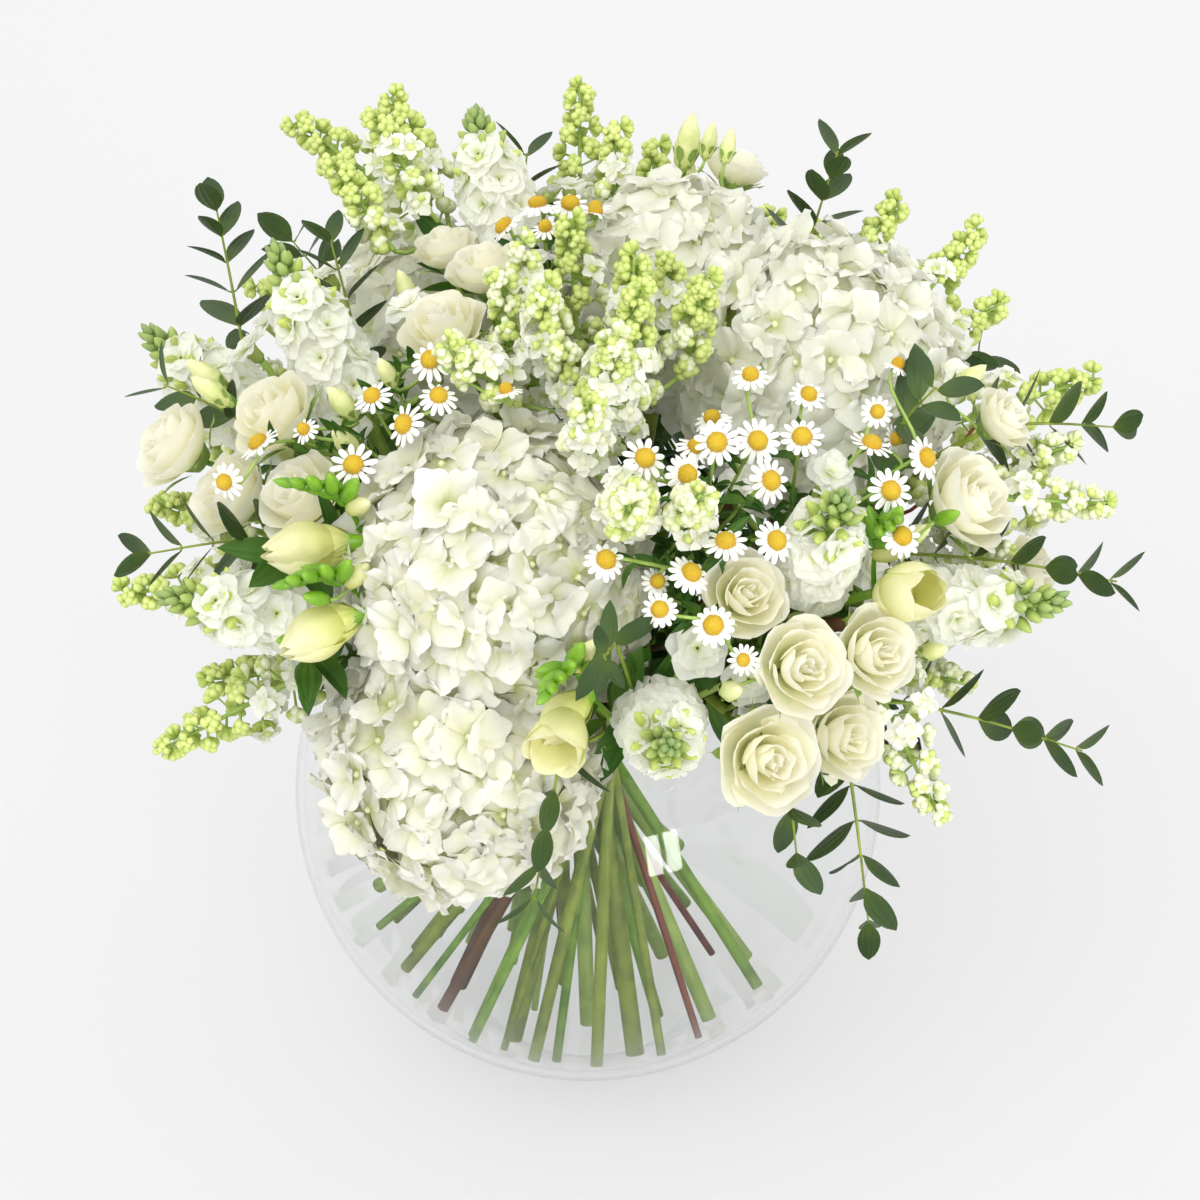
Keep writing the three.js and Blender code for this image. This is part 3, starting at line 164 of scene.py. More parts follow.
# ---------------------------------------------------------------- looks that only this script has
GOLDEN = 2.39996            # the golden angle, which spreads things evenly round an axis
SIDE_ANGLE = 0.6            # the side of its aim that a freesia leans to
ANY_ANGLE = (0, 6.28)       # limits of a random angle
FLORET_AREA = 300           # square millimetres of a hydrangea that each floret covers
SEPALS, SEPAL_ANGLE = 5, 1.257      # of each rose, and the angle from one to the next
PALE_LILACS = {"lilac_3", "lilac_5", "lilac_7", "lilac_9"}
# heads at the back: whiter petals with a stronger painted glow that lifts their shade
WHITE_BRIGHTENED_HYDRANGEAS = {"hydrangea_3", "hydrangea_4", "hydrangea_5"}
NARROW_LEAVED = {"eucalyptus_8"}
BLOOM_SHAPE = {"freesia_3": (0.34, 0.12), "freesia_4": (0.44, -0.15)}      # size and opening of the bloom
CLOSED_BLOOM = (0.42, -0.34)
KNOTTED = {"freesia", "rose"}       # kinds with knots on their stems
EXTRAS = {      # small extra blooms: how many, the room each needs, how far from a head, radius of its twig
    "chamomile": (5, 9.0, (16, 46), 0.8), "rose": (3, 6.5, (20, 46), 0.8), "lilac": (3, 9.0, (18, 55), 1.2),
    "stock": (3, 11.0, (24, 60), 1.6), "freesia": (1, 6.0, (20, 46), 0.8),
}
TRIES, SLACK = 40, 2.0      # how often such a place is sought, and how far it may overlap a neighbour
STEM_LEAVES = {     # paint, share of the possible places that bear a leaf, and length of the leaves
    "eucalyptus": ("eucalyptus_leaves", 0.8, (20, 30)), "chamomile": ("green_leaves", 0.8, (14, 22)),
}
USUAL_LEAVES = ("green_leaves", 0.75, (26, 42))
TWIG_LEAVES = {"chamomile": ("green_leaves", 0.7, (8, 15))}
TWINE_RADIUS, TWINE_TURNS, TAIL_RADIUS = 0.95, 4, 0.9
GLASS_TINT, GLASS_INDEX = (0.95, 0.957, 0.955, 1), 1.35
TABLE_GREY, TABLE_GLOW = 0.24, 0.6
SKY_STRENGTH = 1.07
HORIZON, ZENITH = (0.7, 0.7, 0.71, 1), (1, 1, 1, 1)
LAMP_STRENGTH, LAMP_ANGLE = 1.25, 50
LAMP_WAY = Vector((0.3, 0.55, -0.8))
WINDOW_POWER = 15.0         # each of its two panes
# places and sizes in metres
TABLE_REACH, TABLE_DROP = 12.0, 0.0002
WINDOW_PLACE, WINDOW_AIM = Vector((1.41, -2.64, 0.62)), Vector((0, 0, 0.2))
PANE_WIDTH, PANE_HEIGHT, PANE_OFFSET = 0.28, 0.8, 0.19
CAMERA_PLACE = (0.00576, -1.42299, 1.23596)
CAMERA_PITCH, LENS, SENSOR = 35, 112.5, 36      # degrees, and millimetres of the lens and its sensor

# petal outlines, as half widths from root to tip
BROAD = [0.12, 0.62, 0.92, 1.0, 0.9, 0.55]
ROUND = [0.3, 0.8, 1.0, 1.0, 0.72]
RAY = [0.45, 0.85, 1.0, 1.0, 0.8]
OVATE = [0.05, 0.52, 0.84, 0.98, 1.0, 0.93, 0.78, 0.52, 0.04]
LANCE = [0.08, 0.5, 0.82, 0.97, 1.0, 0.92, 0.75, 0.48, 0.03]
# turned profiles, as (radius, height)
BALL = [(0, -0.8), (0.4, -0.69), (0.69, -0.4), (0.8, 0), (0.69, 0.4), (0.4, 0.69), (0, 0.8)]
BUD = [(0, -0.1), (0.75, 0.08), (1, 0.38), (0.8, 0.66), (0.4, 0.88), (0, 1)]
LILAC_BUD = [(0.25, -1.6), (0.75, -0.6), (1, 0.15), (0.72, 0.78), (0, 0.95)]
LILAC_TUBE = [(0.9, -6), (0.8, -0.5), (1.3, 0.3), (0, 0.6)]
LILAC_WIDTHS = [0.55, 0.95, 1, 0.86, 0.68, 0.48, 0.3]
HYDRANGEA_HEART = [(1.6, -1), (1.9, 0.2), (1.2, 1.3), (0, 1.7)]
ROSE_CUP = [(0, -1.02), (0.28, -0.95), (0.42, -0.7), (0.5, -0.5)]
TULIP_CUP = [(0, -0.9), (0.12, -0.8), (0.18, -0.5), (0.26, -0.25)]
STOCK_CUP = [(1.2, -9), (3.0, -7), (3.4, -1)]
DAISY_DOME = [(2.2, -1.6), (4.1, -0.2), (4.6, 1.0), (4.1, 2.5), (2.5, 3.7), (0, 4.2)]
KNOT = [(0, -3), (2.6, -1.6), (3, 0), (2.4, 1.6), (0, 3)]
ROSE_TIERS = [      # petals, distance from the middle, height of the rim, half its turn, flare of the rim
    (2, 0.12, 0.50, 2.3, 0.0), (3, 0.30, 0.55, 1.75, 0.02), (3, 0.51, 0.51, 1.45, 0.08),
    (3, 0.70, 0.36, 1.3, 0.2), (4, 0.82, 0.06, 1.1, 0.33),
]
STOCK_TIERS = [(5, 1.0, 0.1, 0), (4, 0.8, 0.5, 0.6), (3, 0.55, 0.95, 1.1)]      # petals, reach, lift, spin


# ---------------------------------------------------------------- plants, and settling their heads
def across(aim, angle):
    """A way square to aim, at an angle round it."""
    upright = UP if abs(aim.z) < 0.9 else Vector((1, 0, 0))
    first = upright.cross(aim).normalized()
    second = aim.cross(first)
    return (first * cos(angle) + second * sin(angle)).normalized()


def outwards(point):
    return (point - FOCUS).normalized()


class Head:
    """One flower head or leafy sprig."""

    def __init__(self, plant, at, size=0, aim=None):
        self.plant, self.kind, self.at, self.size = plant, plant.kind, Vector(at), size
        self.given_aim = Vector(aim).normalized() if aim else None
        self.neighbours = []

    @property
    def aim(self):
        return self.given_aim or outwards(self.at)

    @property
    def root(self):
        """Where its stem or twig ends."""
        if self.kind == "chamomile":
            return self.at - self.aim * 0.5 + across(self.aim, 1) * 2.5
        share = {"hydrangea": 0.45, "rose": 0.8}.get(self.kind, 0.5)
        return self.at - self.aim * (share * self.size)


class Plant:
    """One stem and its heads; its order is its place among all plants."""

    def __init__(self, order, kind, number, heads):
        self.order, self.kind, self.name = order, kind, f"{kind}_{number}"
        self.heads = [Head(self, *head) for head in heads]


def balls_in(head):
    """Balls that fill a head, as (distance along its aim, radius)."""
    size = head.size
    if head.kind == "rose" and size < ROSE_BUD_SIZE:
        return [(0, size)]
    return {
        "hydrangea": [(0, 1.05 * size)],
        "lilac": [(-0.3 * size, 0.18 * size), (0, 0.19 * size), (0.3 * size, 0.12 * size)],
        "stock": [(-0.22 * size, 22), (0.05 * size, 21), (0.34 * size, 10)],
        "rose": [(-0.1 * size, 1.05 * size)],
        "freesia": [(-0.2 * size, 8), (0.1 * size, 15), (0.38 * size, 12)],
        "chamomile": [(0.5, 9.5)],
        "eucalyptus": [(-0.35 * size, 3), (-0.1 * size, 4), (0.15 * size, 4), (0.4 * size, 4)],
    }[head.kind]


def balls_of(plants):
    """The balls of all heads, as (place, radius, head)."""
    return [(head.at + head.aim * along, radius, head)
            for plant in plants for head in plant.heads for along, radius in balls_in(head)]


def settle_heads(plants):
    """Presses the heads off each other and off the bowl, so that neighbours lie side by side."""
    ease = {"hydrangea": 0.12, "chamomile": 1.3, "eucalyptus": 1.2}     # how readily each kind gives way
    balls = [(*ball, ease.get(ball[2].kind, 1)) for ball in balls_of(plants)]
    moved = {head: Vector() for plant in plants for head in plant.heads}
    for _ in range(SETTLE_PASSES):
        for i, (at_a, radius_a, a, ease_a) in enumerate(balls):
            for at_b, radius_b, b, ease_b in balls[i + 1:]:
                if a is b:
                    continue
                need = radius_a + radius_b + (-HYDRANGEA_OVERLAP if a.kind == b.kind == "hydrangea" else 1)
                away = at_a + moved[a] - at_b - moved[b]
                distance = away.length
                if 1e-6 <= distance < need:
                    away *= 0.5 * (need - distance) / (ease_a + ease_b) / distance
                    moved[a] += away * ease_a
                    moved[b] -= away * ease_b
            away = at_a + moved[a] - BOWL_CENTRE
            free = BOWL_RADIUS + GAP + radius_a * (0.62 if a.kind == "hydrangea" else 1)
            if away.length < free:
                moved[a] += away.normalized() * 0.5 * (free - away.length)
        moved = {head: shift * 0.985 for head, shift in moved.items()}
    for head, shift in moved.items():
        head.at = head.at + shift


# ---------------------------------------------------------------- laying out the stems
def bezier(a, b, c, d, steps):
    """Points of the curve from a to d that b and c pull on."""
    points = []
    for i in range(steps + 1):
        t = i / steps
        s = 1 - t
        points.append(a * s ** 3 + b * 3 * s * s * t + c * 3 * s * t * t + d * t ** 3)
    return points


def sphere_radius(radius, z):
    return sqrt(max(radius * radius - (z - BOWL_CENTRE_Z) ** 2, 0))


def inner_radius(z):
    """Inside radius of the bowl at a height, as the flat facets of its solid have it."""
    wall = [(sphere_radius(BOWL_RADIUS - GLASS, ring), ring) for ring in reversed(BOWL_RINGS[1:])]
    wall.append((FLOOR_RADIUS, FLOOR_Z))
    for (upper_radius, upper), (lower_radius, lower) in zip(wall, wall[1:]):
        if lower < z <= upper:
            part = (z - lower) / (upper - lower)
            return (lower_radius + part * (upper_radius - lower_radius)) * cos(pi / BOWL_SIDES)
    return 0


def in_glass(point):
    """Whether a point of a stem's rim would touch the glass floor or wall."""
    return point.z < FLOOR_Z + GAP or hypot(point.x, point.y) > inner_radius(point.z) - GAP - 0.05


class Stem:
    """The straight lower part of a plant's stem. Its x and y are its place in the tied waist."""

    def __init__(self, plant):
        self.plant, self.radius, self.x, self.y = plant, STEM_RADIUS[plant.kind], 0, 0
        head = plant.heads[0]
        if len(plant.heads) == 1:
            self.end, self.aim = head.root, head.aim
        else:
            middle = sum((head.root for head in plant.heads), Vector()) / len(plant.heads)
            self.end = middle - (middle - FOCUS) * 0.28
            self.aim = outwards(self.end)
        self.spread = hypot(self.end.x - WAIST.x, self.end.y) - 0.35 * (self.end.z - 250)
        self.bearing = atan2(self.end.y, self.end.x - WAIST.x)

    def point(self, height):
        """The stem's middle at a height over the waist, round which all stems twist."""
        return WAIST + Vector((self.x - TWIST * self.y * height, self.y + TWIST * self.x * height, height))

    def foot(self):
        """The lowest point that the glass leaves free, found in steps of half a millimetre."""
        lean = (self.point(1) - self.point(0)).normalized()
        rim = [across(lean, step * pi / 6) * self.radius for step in range(12)]
        height = -60.0      # surely free
        while not any(in_glass(self.point(height - 0.5) + offset) for offset in rim):
            height -= 0.5
        return self.point(height)


class Line:
    """The centre line of a stem, twig or spine. Its points before first_free are held in place."""

    def __init__(self, plant, points, radius, first_free, role):
        self.plant, self.points, self.radius = plant, points, radius
        self.first_free, self.role = first_free, role


def pack_waist(stems):
    """Places every stem in the tied waist, high flowers in the middle, each clear of the others."""
    rings = np.repeat(np.arange(WAIST_RINGS) * WAIST_RING_STEP, WAIST_SPOKES)
    angles = np.tile(np.arange(WAIST_SPOKES) * 2 * pi / WAIST_SPOKES, WAIST_RINGS)
    x, y = rings * np.cos(angles), rings * np.sin(angles)
    done = []
    for stem in sorted(stems, key=lambda stem: stem.spread):
        wanted = stem.bearing - pi / 2
        miss = np.abs(np.arctan2(np.sin(angles - wanted), np.cos(angles - wanted)))
        cost = rings * (1 + 0.45 * miss)
        for other in done:
            flat = (x - other.x) ** 2 + (y - other.y) ** 2
            tilt = TWIST * (x * other.y - y * other.x)
            gap = flat / np.sqrt(np.maximum(flat + tilt * tilt, 1e-12))
            cost[gap < stem.radius + other.radius + 0.18] = 1e9
        best = int(np.argmin(cost))
        stem.x, stem.y = float(x[best]), float(y[best])
        done.append(stem)


def clear_bowl(line):
    """Keeps a line inside the mouth on its way up, over the lip, and off the glass outside."""
    points = line.points
    last = len(points) - 1
    inside = LIP_RADIUS - GLASS - 3.5 - line.radius     # the furthest out that it may pass the mouth
    over = MOUTH_Z + 4.5 + 1.3 * line.radius            # the lowest that it may pass the lip
    for k in range(line.first_free, last + 1):
        before, point = points[k - 1], points[k]
        radius = hypot(point.x, point.y)
        if k < last and point.z < over and inside < radius < LIP_RADIUS + 6:
            point.x *= inside / radius
            point.y *= inside / radius
        start = hypot(before.x, before.y)
        for crossing in (inside, LIP_RADIUS + 3):
            if start < crossing < radius:
                height = before.z + (point.z - before.z) * (crossing - start) / (radius - start)
                for raised in (k - 1, k):
                    if height < over and line.first_free <= raised < last:
                        points[raised].z += 0.7 * (over - height)
        if k < last and radius > LIP_RADIUS:
            away = point - BOWL_CENTRE
            free = BOWL_RADIUS + line.radius + 4
            if away.length < free:
                point += away.normalized() * (free - away.length)


def as_rows(vectors):
    return np.array([list(vector) for vector in vectors])


def push(samples, near, need, foreign, strength):
    """Moves of the samples off the foreign things that they lie deepest in; near is the middle of each."""
    away = samples[:, None, :] - near
    gap = np.linalg.norm(away, axis=2)
    short = np.where(foreign & (gap > 1e-6), need - gap, 0)
    worst = np.argmax(short, axis=1)
    rows = np.arange(len(worst))
    amount = strength * np.maximum(short[rows, worst], 0)
    return away[rows, worst] / np.maximum(gap[rows, worst], 1e-6)[:, None] * amount[:, None]


def relax(lines, balls):
    """Pushes the free points of all stems and twigs off each other and off foreign flower heads."""
    spans = [(line, k) for line in lines for k in range(len(line.points) - 1)]
    owner = np.array([line.plant.order for line, k in spans])[:, None]
    thick = np.array([line.radius for line, k in spans])
    need = thick[:, None] + thick[None, :] + GAP + 0.9
    ball_at = as_rows(at for at, radius, head in balls)
    ball_need = np.array([radius for at, radius, head in balls])[None, :] + thick[:, None] + 2
    ball_foreign = owner != np.array([head.plant.order for at, radius, head in balls])
    for _ in range(RELAX_PASSES):
        for line in lines:
            for k in range(line.first_free, len(line.points) - 1):
                middle = (line.points[k - 1] + line.points[k + 1]) * 0.5
                line.points[k] = line.points[k].lerp(middle, 0.08)
        start = as_rows(line.points[k] for line, k in spans)
        along = as_rows(line.points[k + 1] for line, k in spans) - start
        square = np.maximum((along ** 2).sum(1), 1e-9)
        low, high = np.zeros_like(start), np.zeros_like(start)
        for part in (0.25, 0.5, 0.75, 1.0):
            samples = start + along * part
            share = ((samples[:, None, :] - start[None]) * along[None]).sum(2) / square[None]
            near = start[None] + along[None] * np.clip(share, 0, 1)[..., None]
            for shift in (push(samples, near, need, owner != owner.T, 0.4),
                          push(samples, ball_at[None], ball_need, ball_foreign, 0.35)):
                high += shift
                low += shift * (part < 1)
        for row, (line, k) in enumerate(spans):
            if line.first_free <= k + 1 < len(line.points) - 1:
                line.points[k + 1] += Vector(high[row]) * 0.7
            if line.first_free <= k:
                line.points[k] += Vector(low[row]) * 0.7
        for line in lines:
            clear_bowl(line)


def spine_of(head):
    """The middle line of a sprig or a freesia's flower row, which bends down or to its side."""
    side = -UP if head.kind == "eucalyptus" else across(head.aim, SIDE_ANGLE)
    return [head.root + head.aim * forward * head.size + side * sideways * head.size
            for forward, sideways in SPINE_STEPS[head.kind]]


def lay_out(plants):
    """The lines of all stems, twigs and spines, after the heads have settled."""
    settle_heads(plants)
    stems = [Stem(plant) for plant in plants]
    pack_waist(stems)
    lines = []
    for stem in stems:
        plant, end, aim = stem.plant, stem.end, stem.aim
        foot, top = stem.foot(), stem.point(STRAIGHT_TOP)
        lean = (top - foot).normalized()
        length = (end - top).length
        bend = bezier(top, top + lean * 0.3 * length, end - aim * 0.35 * length, end, 4)
        lines.append(Line(plant, [foot, *bend], stem.radius, 2, "stem"))
        for head in plant.heads if len(plant.heads) > 1 else ():
            to_head = head.root - end
            away = to_head.length
            sideways = (to_head - aim * to_head.dot(aim)).normalized()
            inner = end - aim * 1.5 + sideways * 0.4 * stem.radius
            twig = bezier(inner, inner + aim * 0.3 * away, head.root - head.aim * 0.3 * away, head.root, 2)
            lines.append(Line(plant, twig, TWIG_RADIUS[plant.kind], 1, "twig"))
    for plant in plants:
        for head in plant.heads if plant.kind in SPINE_STEPS else ():
            spine = spine_of(head)
            lines.append(Line(plant, spine, SPINE_RADIUS[plant.kind], len(spine), "spine"))
    relax(lines, balls_of(plants))
    return lines


# ---------------------------------------------------------------- shapes: (corners, faces, marks)
def axes(x, up):
    """Rows of a turned frame: along x, across, and as near to up as x allows."""
    x = x.normalized()
    y = up.cross(x).normalized()
    return as_rows([x, y, x.cross(y)])


def stand(aim, spin=0.0):
    """Turns a form built round +Z so that it stands along aim."""
    x = across(aim, spin)
    return as_rows([x, aim.cross(x), aim])


@cache
def grid_faces(rows, columns):
    return [(r * columns + c, r * columns + c + 1, (r + 1) * columns + c + 1, (r + 1) * columns + c)
            for r in range(rows - 1) for c in range(columns - 1)]


def sheet(x, y, z, u, v, tone):
    """A thin sheet through a grid of places, marked with its two directions and its tone."""
    grid = 0 * (u + v)
    places, marks = (np.stack([part + grid for part in parts], axis=-1).reshape(-1, 3)
                     for parts in ((x, y, z), (u, v, tone)))
    return places, grid_faces(*grid.shape), marks


def blade(outline, length, width, rows=5, columns=5, cup=0.0, curl=0.0, ruffle=0.0, waves=2.0, phase=0.0,
          round_tip=0.25, tone=0.5):
    """A petal or leaf lying along +X with its face up: outline gives its half width from root to tip."""
    u = np.linspace(0, 1, rows)[:, None]
    v = np.linspace(-1, 1, columns)[None, :]
    half = np.interp(u, np.linspace(0, 1, len(outline)), outline) * width / 2
    x = u * length * (1 - round_tip * v * v * u ** 2)
    z = cup * v * v * (half / (width / 2)) + curl * u ** 2 + ruffle * u * np.sin(waves * pi * v + phase)
    return sheet(x, half * v, z, u, v, tone)


def cup_petal(radius, bottom, top, spread, flare, ruffle, phase, tone, rows=8, columns=9, narrow=0.5,
              skew=0.0, round_top=0.45, droop=0.12):
    """A petal wrapped round a cup: rises from bottom to top at a radius, its rim flaring outwards."""
    h = np.linspace(0, 1, rows)[:, None]
    a = np.linspace(-1, 1, columns)[None, :]
    swell = np.sin(np.clip(h * 1.25 + 0.12, 0, 1.25) * pi / 2) ** 0.8
    width = spread * (narrow + (1 - narrow) * np.sin(np.minimum(h * 1.4, 1) * pi / 2))
    width = width * np.sqrt(1 - round_top * np.clip((h - 0.5) / 0.5, 0, 1) ** 3)
    angle = a * width
    reach = radius * swell + flare * h ** 3 + ruffle * h ** 2 * np.sin(5 * a + phase) + skew * a * h
    height = bottom + (top - bottom) * h * (1 - droop * a * a * h)
    height = height + 0.5 * ruffle * h ** 2 * np.cos(4 * a + phase)
    return sheet(reach * np.cos(angle), reach * np.sin(angle), height, h, a, tone)


def walls(rings):
    """Faces between neighbouring rings of corners, where a ring of one corner is a tip."""
    faces = []
    for lower, upper in zip(rings, rings[1:]):
        sides = max(len(lower), len(upper))
        for i in range(sides):
            j = (i + 1) % sides
            below = lower[:1] if len(lower) == 1 else (lower[i], lower[j])
            above = upper[:1] if len(upper) == 1 else (upper[j], upper[i])
            faces.append((*below, *above))
    return faces


def turned(profile, sides, wide=1.0, tall=1.0, lobes=0, depth=0.0, twist=0.0, tone=0.5):
    """A turned form round +Z from a profile stretched wide and tall, with lobes pressed into its sides."""
    places, marks, rings = [], [], []
    for k, (radius, height) in enumerate(profile):
        share = k / (len(profile) - 1)
        count = sides if radius else 1
        rings.append(range(len(places), len(places) + count))
        for i in range(count):
            angle = 2 * pi * i / sides + twist * share
            reach = radius * wide * (1 - depth * (0.5 - 0.5 * cos(lobes * angle)))
            places.append((reach * cos(angle), reach * sin(angle), height * tall))
            marks.append((share, 2 * i / sides - 1 if radius else 0, tone))
    return np.array(places, float), walls(rings), np.array(marks, float)


def bud_shape(width, length, tone, lobes=0):
    return turned(BUD, 8, width / 2, length, lobes, 0.14, 1.2 if lobes else 0.0, tone)


def smooth_path(points, steps=6):
    """A smooth curve through the given points."""
    if len(points) < 3:
        return points
    padded = [points[0] * 2 - points[1], *points, points[-1] * 2 - points[-2]]
    curve = []
    for a, b, c, d in zip(padded, padded[1:], padded[2:], padded[3:]):
        for i in range(steps):
            t = i / steps
            curve.append(0.5 * (2 * b + (c - a) * t + (2 * a - 5 * b + 4 * c - d) * t * t
                                + (3 * b - 3 * c + d - a) * t ** 3))
    curve.append(points[-1])
    return curve


def along_path(path, share):
    """The place at a share of a path, and the way the path runs there."""
    place = share * (len(path) - 1)
    k = min(int(place), len(path) - 2)
    return path[k].lerp(path[k + 1], place - k), (path[k + 1] - path[k]).normalized()


class Mass:
    """Gathers many small shapes, each with the name of its paint, and makes one mesh of them."""

    def __init__(self):
        self.places, self.faces, self.marks, self.paints = [], [], [], []
        self.count = 0

    def add(self, places, faces, marks, paint):
        self.places.append(places)
        self.marks.append(marks)
        self.faces.extend([self.count + corner for corner in face] for face in faces)
        self.paints.extend([paint] * len(faces))
        self.count += len(places)

    def put(self, shape, at, turn, paint):
        places, faces, marks = shape
        self.add(places @ turn + np.array(list(at)), faces, marks, paint)

    def petals(self, at, normal, count, lift, inner, spin, make, paint):
        """Petals round a point: each starts at `inner` from it and rises by the angle `lift`."""
        for i in range(count):
            way = across(normal, spin + 2 * pi * i / count)
            x = way * cos(lift) + normal * sin(lift)
            up = normal * cos(lift) - way * sin(lift)
            self.put(make(), at + way * inner, axes(x, up), paint)

    def tube(self, points, radius, sides, paint, end_radius=None, cut=None, tone=0.5, knots=()):
        """A round stem through the points, closed at both ends; cut is the paint of its lower end."""
        count = len(points)
        side = across((points[1] - points[0]).normalized(), 0)
        places, marks = [], []
        for k, point in enumerate(points):
            ahead = (points[min(k + 1, count - 1)] - points[max(k - 1, 0)]).normalized()
            side = (side - ahead * side.dot(ahead)).normalized()
            other = ahead.cross(side)
            share = k / (count - 1)
            reach = radius if end_radius is None else radius + (end_radius - radius) * share
            for knot in knots:
                reach *= 1 + 0.22 * exp(-((share - knot) * count) ** 2)
            for i in range(sides):
                angle = 2 * pi * i / sides
                places.append(point + side * reach * cos(angle) + other * reach * sin(angle))
                marks.append((share, 2 * i / sides - 1, tone))
        rings = [range(k * sides, (k + 1) * sides) for k in range(count)]
        places, marks = as_rows(places), np.array(marks, float)
        self.add(places, [*walls(rings), rings[-1]], marks, paint)
        self.add(places[:sides], [rings[0][::-1]], marks[:sides], cut or paint)

    def finish(self, name, node, slot):
        """Makes the piece that stands for a node of the solids."""
        mesh = bpy.data.meshes.new(name)
        places = np.concatenate(self.places) * MM
        mesh.from_pydata(places.tolist(), [], self.faces)
        marks = mesh.attributes.new("mark", "FLOAT_VECTOR", "POINT")
        marks.data.foreach_set("vector", np.concatenate(self.marks).astype(np.float32).ravel())
        used = list(dict.fromkeys(self.paints))
        mesh.polygons.foreach_set("material_index", [used.index(paint) for paint in self.paints])
        mesh.polygons.foreach_set("use_smooth", [True] * len(mesh.polygons))
        for paint in used:
            mesh.materials.append(PAINT[paint])
        mesh.update()
        piece = new_object(name, mesh)
        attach(piece, "root")
        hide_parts(node)


def new_object(name, data):
    made = bpy.data.objects.new(name, data)
    bpy.context.scene.collection.objects.link(made)
    return made


# ---------------------------------------------------------------- materials
PAINT = {}


def linear(colour):
    """A colour as Blender wants it, from the usual six-figure code; one that is ready stays."""
    if not isinstance(colour, str):
        return colour
    channels = [int(colour[i:i + 2], 16) / 255 for i in (1, 3, 5)]
    return tuple(c / 12.92 if c <= 0.04045 else ((c + 0.055) / 1.055) ** 2.4 for c in channels) + (1.0,)


class Nodes:
    """Short names for the node calls that the materials and the sky share."""

    def __init__(self, tree):
        self.tree = tree

    def feed(self, socket, source):
        """Gives an input the output of another node, or a plain value."""
        if isinstance(source, bpy.types.NodeSocket):
            self.tree.links.new(source, socket)
        else:
            socket.default_value = source

    def add(self, kind, inputs, **settings):
        node = self.tree.nodes.new("ShaderNode" + kind)
        for key, value in settings.items():
            setattr(node, key, value)
        for place, source in inputs.items():
            self.feed(node.inputs[place], source)
        return node

    def split(self, source):
        return self.add("SeparateXYZ", {0: source}).outputs

    def ramp(self, source, stops):
        node = self.add("ValToRGB", {0: source})
        elements = node.color_ramp.elements
        places = list(stops)
        elements[0].position, elements[1].position = places[0], places[-1]
        elements[0].color, elements[1].color = linear(stops[places[0]]), linear(stops[places[-1]])
        for position in places[1:-1]:
            elements.new(position).color = linear(stops[position])
        return node.outputs[0]

    def mix(self, amount, first, second, blend="MIX"):
        inputs = {0: amount, 6: first, 7: second}
        return self.add("Mix", inputs, data_type="RGBA", blend_type=blend).outputs[2]

    def math(self, operation, first, second=0.0):
        return self.add("Math", {0: first, 1: second}, operation=operation).outputs[0]

    def sum(self, first, weight, second):
        """The first times its weight, plus the second."""
        return self.math("ADD", self.math("MULTIPLY", first, weight), second)

    def stripes(self, place, count):
        return self.math("SINE", self.math("MULTIPLY", place, float(count)))

    def noise(self, scale, detail=2.0):
        place = self.add("TexCoord", {}).outputs["Object"]
        return self.add("TexNoise", {"Scale": scale, "Detail": detail, "Vector": place}).outputs[0]


class Paint(Nodes):
    """A material, with the marks of the mesh that carries it: along, across and tone."""

    def __init__(self, name):
        PAINT[name] = bpy.data.materials.new(name)
        PAINT[name].use_nodes = True
        super().__init__(PAINT[name].node_tree)
        self.shader = self.tree.nodes["Principled BSDF"]

    def set(self, **values):
        for key, value in values.items():
            self.feed(self.shader.inputs[key.replace("_", " ")], value)

    def marks(self):
        reader = self.add("Attribute", {}, attribute_name="mark")
        return self.split(reader.outputs["Vector"])

    def bump(self, height, strength, distance):
        inputs = {"Strength": strength, "Distance": distance, "Height": height}
        self.set(Normal=self.add("Bump", inputs).outputs[0])


def petal_paint(name, stops, other, rough=0.6, veins=9, gloss=0.5, spread=0.5, see_through=0.0, painted_glow=0.0):
    """Petals and leaves: colour from root to tip, another tint on some, fine veins, light shining through,
    and a painted glow that lifts their shade.
    """
    paint = Paint(name)
    along, sideways, tone = paint.marks()
    colour = paint.mix(paint.math("MULTIPLY", tone, spread), paint.ramp(along, stops), linear(other))
    speckle = paint.ramp(paint.noise(60.0), {0.3: "#eeeeea", 0.7: "#ffffff"})
    colour = paint.mix(0.5, colour, speckle, "MULTIPLY")
    paint.bump(paint.sum(paint.stripes(sideways, veins), 0.5, paint.noise(220.0)), 0.35, 0.0006)
    paint.set(Base_Color=colour, Roughness=rough, Specular_IOR_Level=gloss)
    # painted glow: the petals give off a little light in their own colour, which lifts their shade
    paint.set(Emission_Color=colour, Emission_Strength=painted_glow)
    if see_through > 0:
        glowing = paint.add("BsdfTranslucent", {"Color": colour}).outputs[0]
        inputs = {0: see_through, 1: paint.shader.outputs[0], 2: glowing}
        blend = paint.add("MixShader", inputs).outputs[0]
        paint.feed(paint.tree.nodes["Material Output"].inputs["Surface"], blend)


def stem_paint(name, young, old, rough=0.5):
    """Stems: darker in patches, with fine lengthwise ribs."""
    paint = Paint(name)
    _, sideways, tone = paint.marks()
    patches = paint.ramp(paint.noise(90.0, 4.0), {0.35: old, 0.65: young})
    colour = paint.mix(paint.math("MULTIPLY", tone, 0.6), patches, linear(young))
    paint.bump(paint.sum(paint.stripes(sideways, 14), 0.4, paint.noise(400.0)), 0.4, 0.0005)
    paint.set(Base_Color=colour, Roughness=rough)


def grain_paint(name, low, high, scale, rough, bump=0.5):
    """Buds, flower centres and other small round things, from a fine mottle."""
    paint = Paint(name)
    along, _, _ = paint.marks()
    mottle = paint.sum(paint.noise(scale), 0.6, paint.math("MULTIPLY", along, 0.45))
    paint.bump(paint.noise(scale * 4), bump, 0.0006)
    paint.set(Base_Color=paint.ramp(mottle, {0.25: low, 0.75: high}), Roughness=rough)


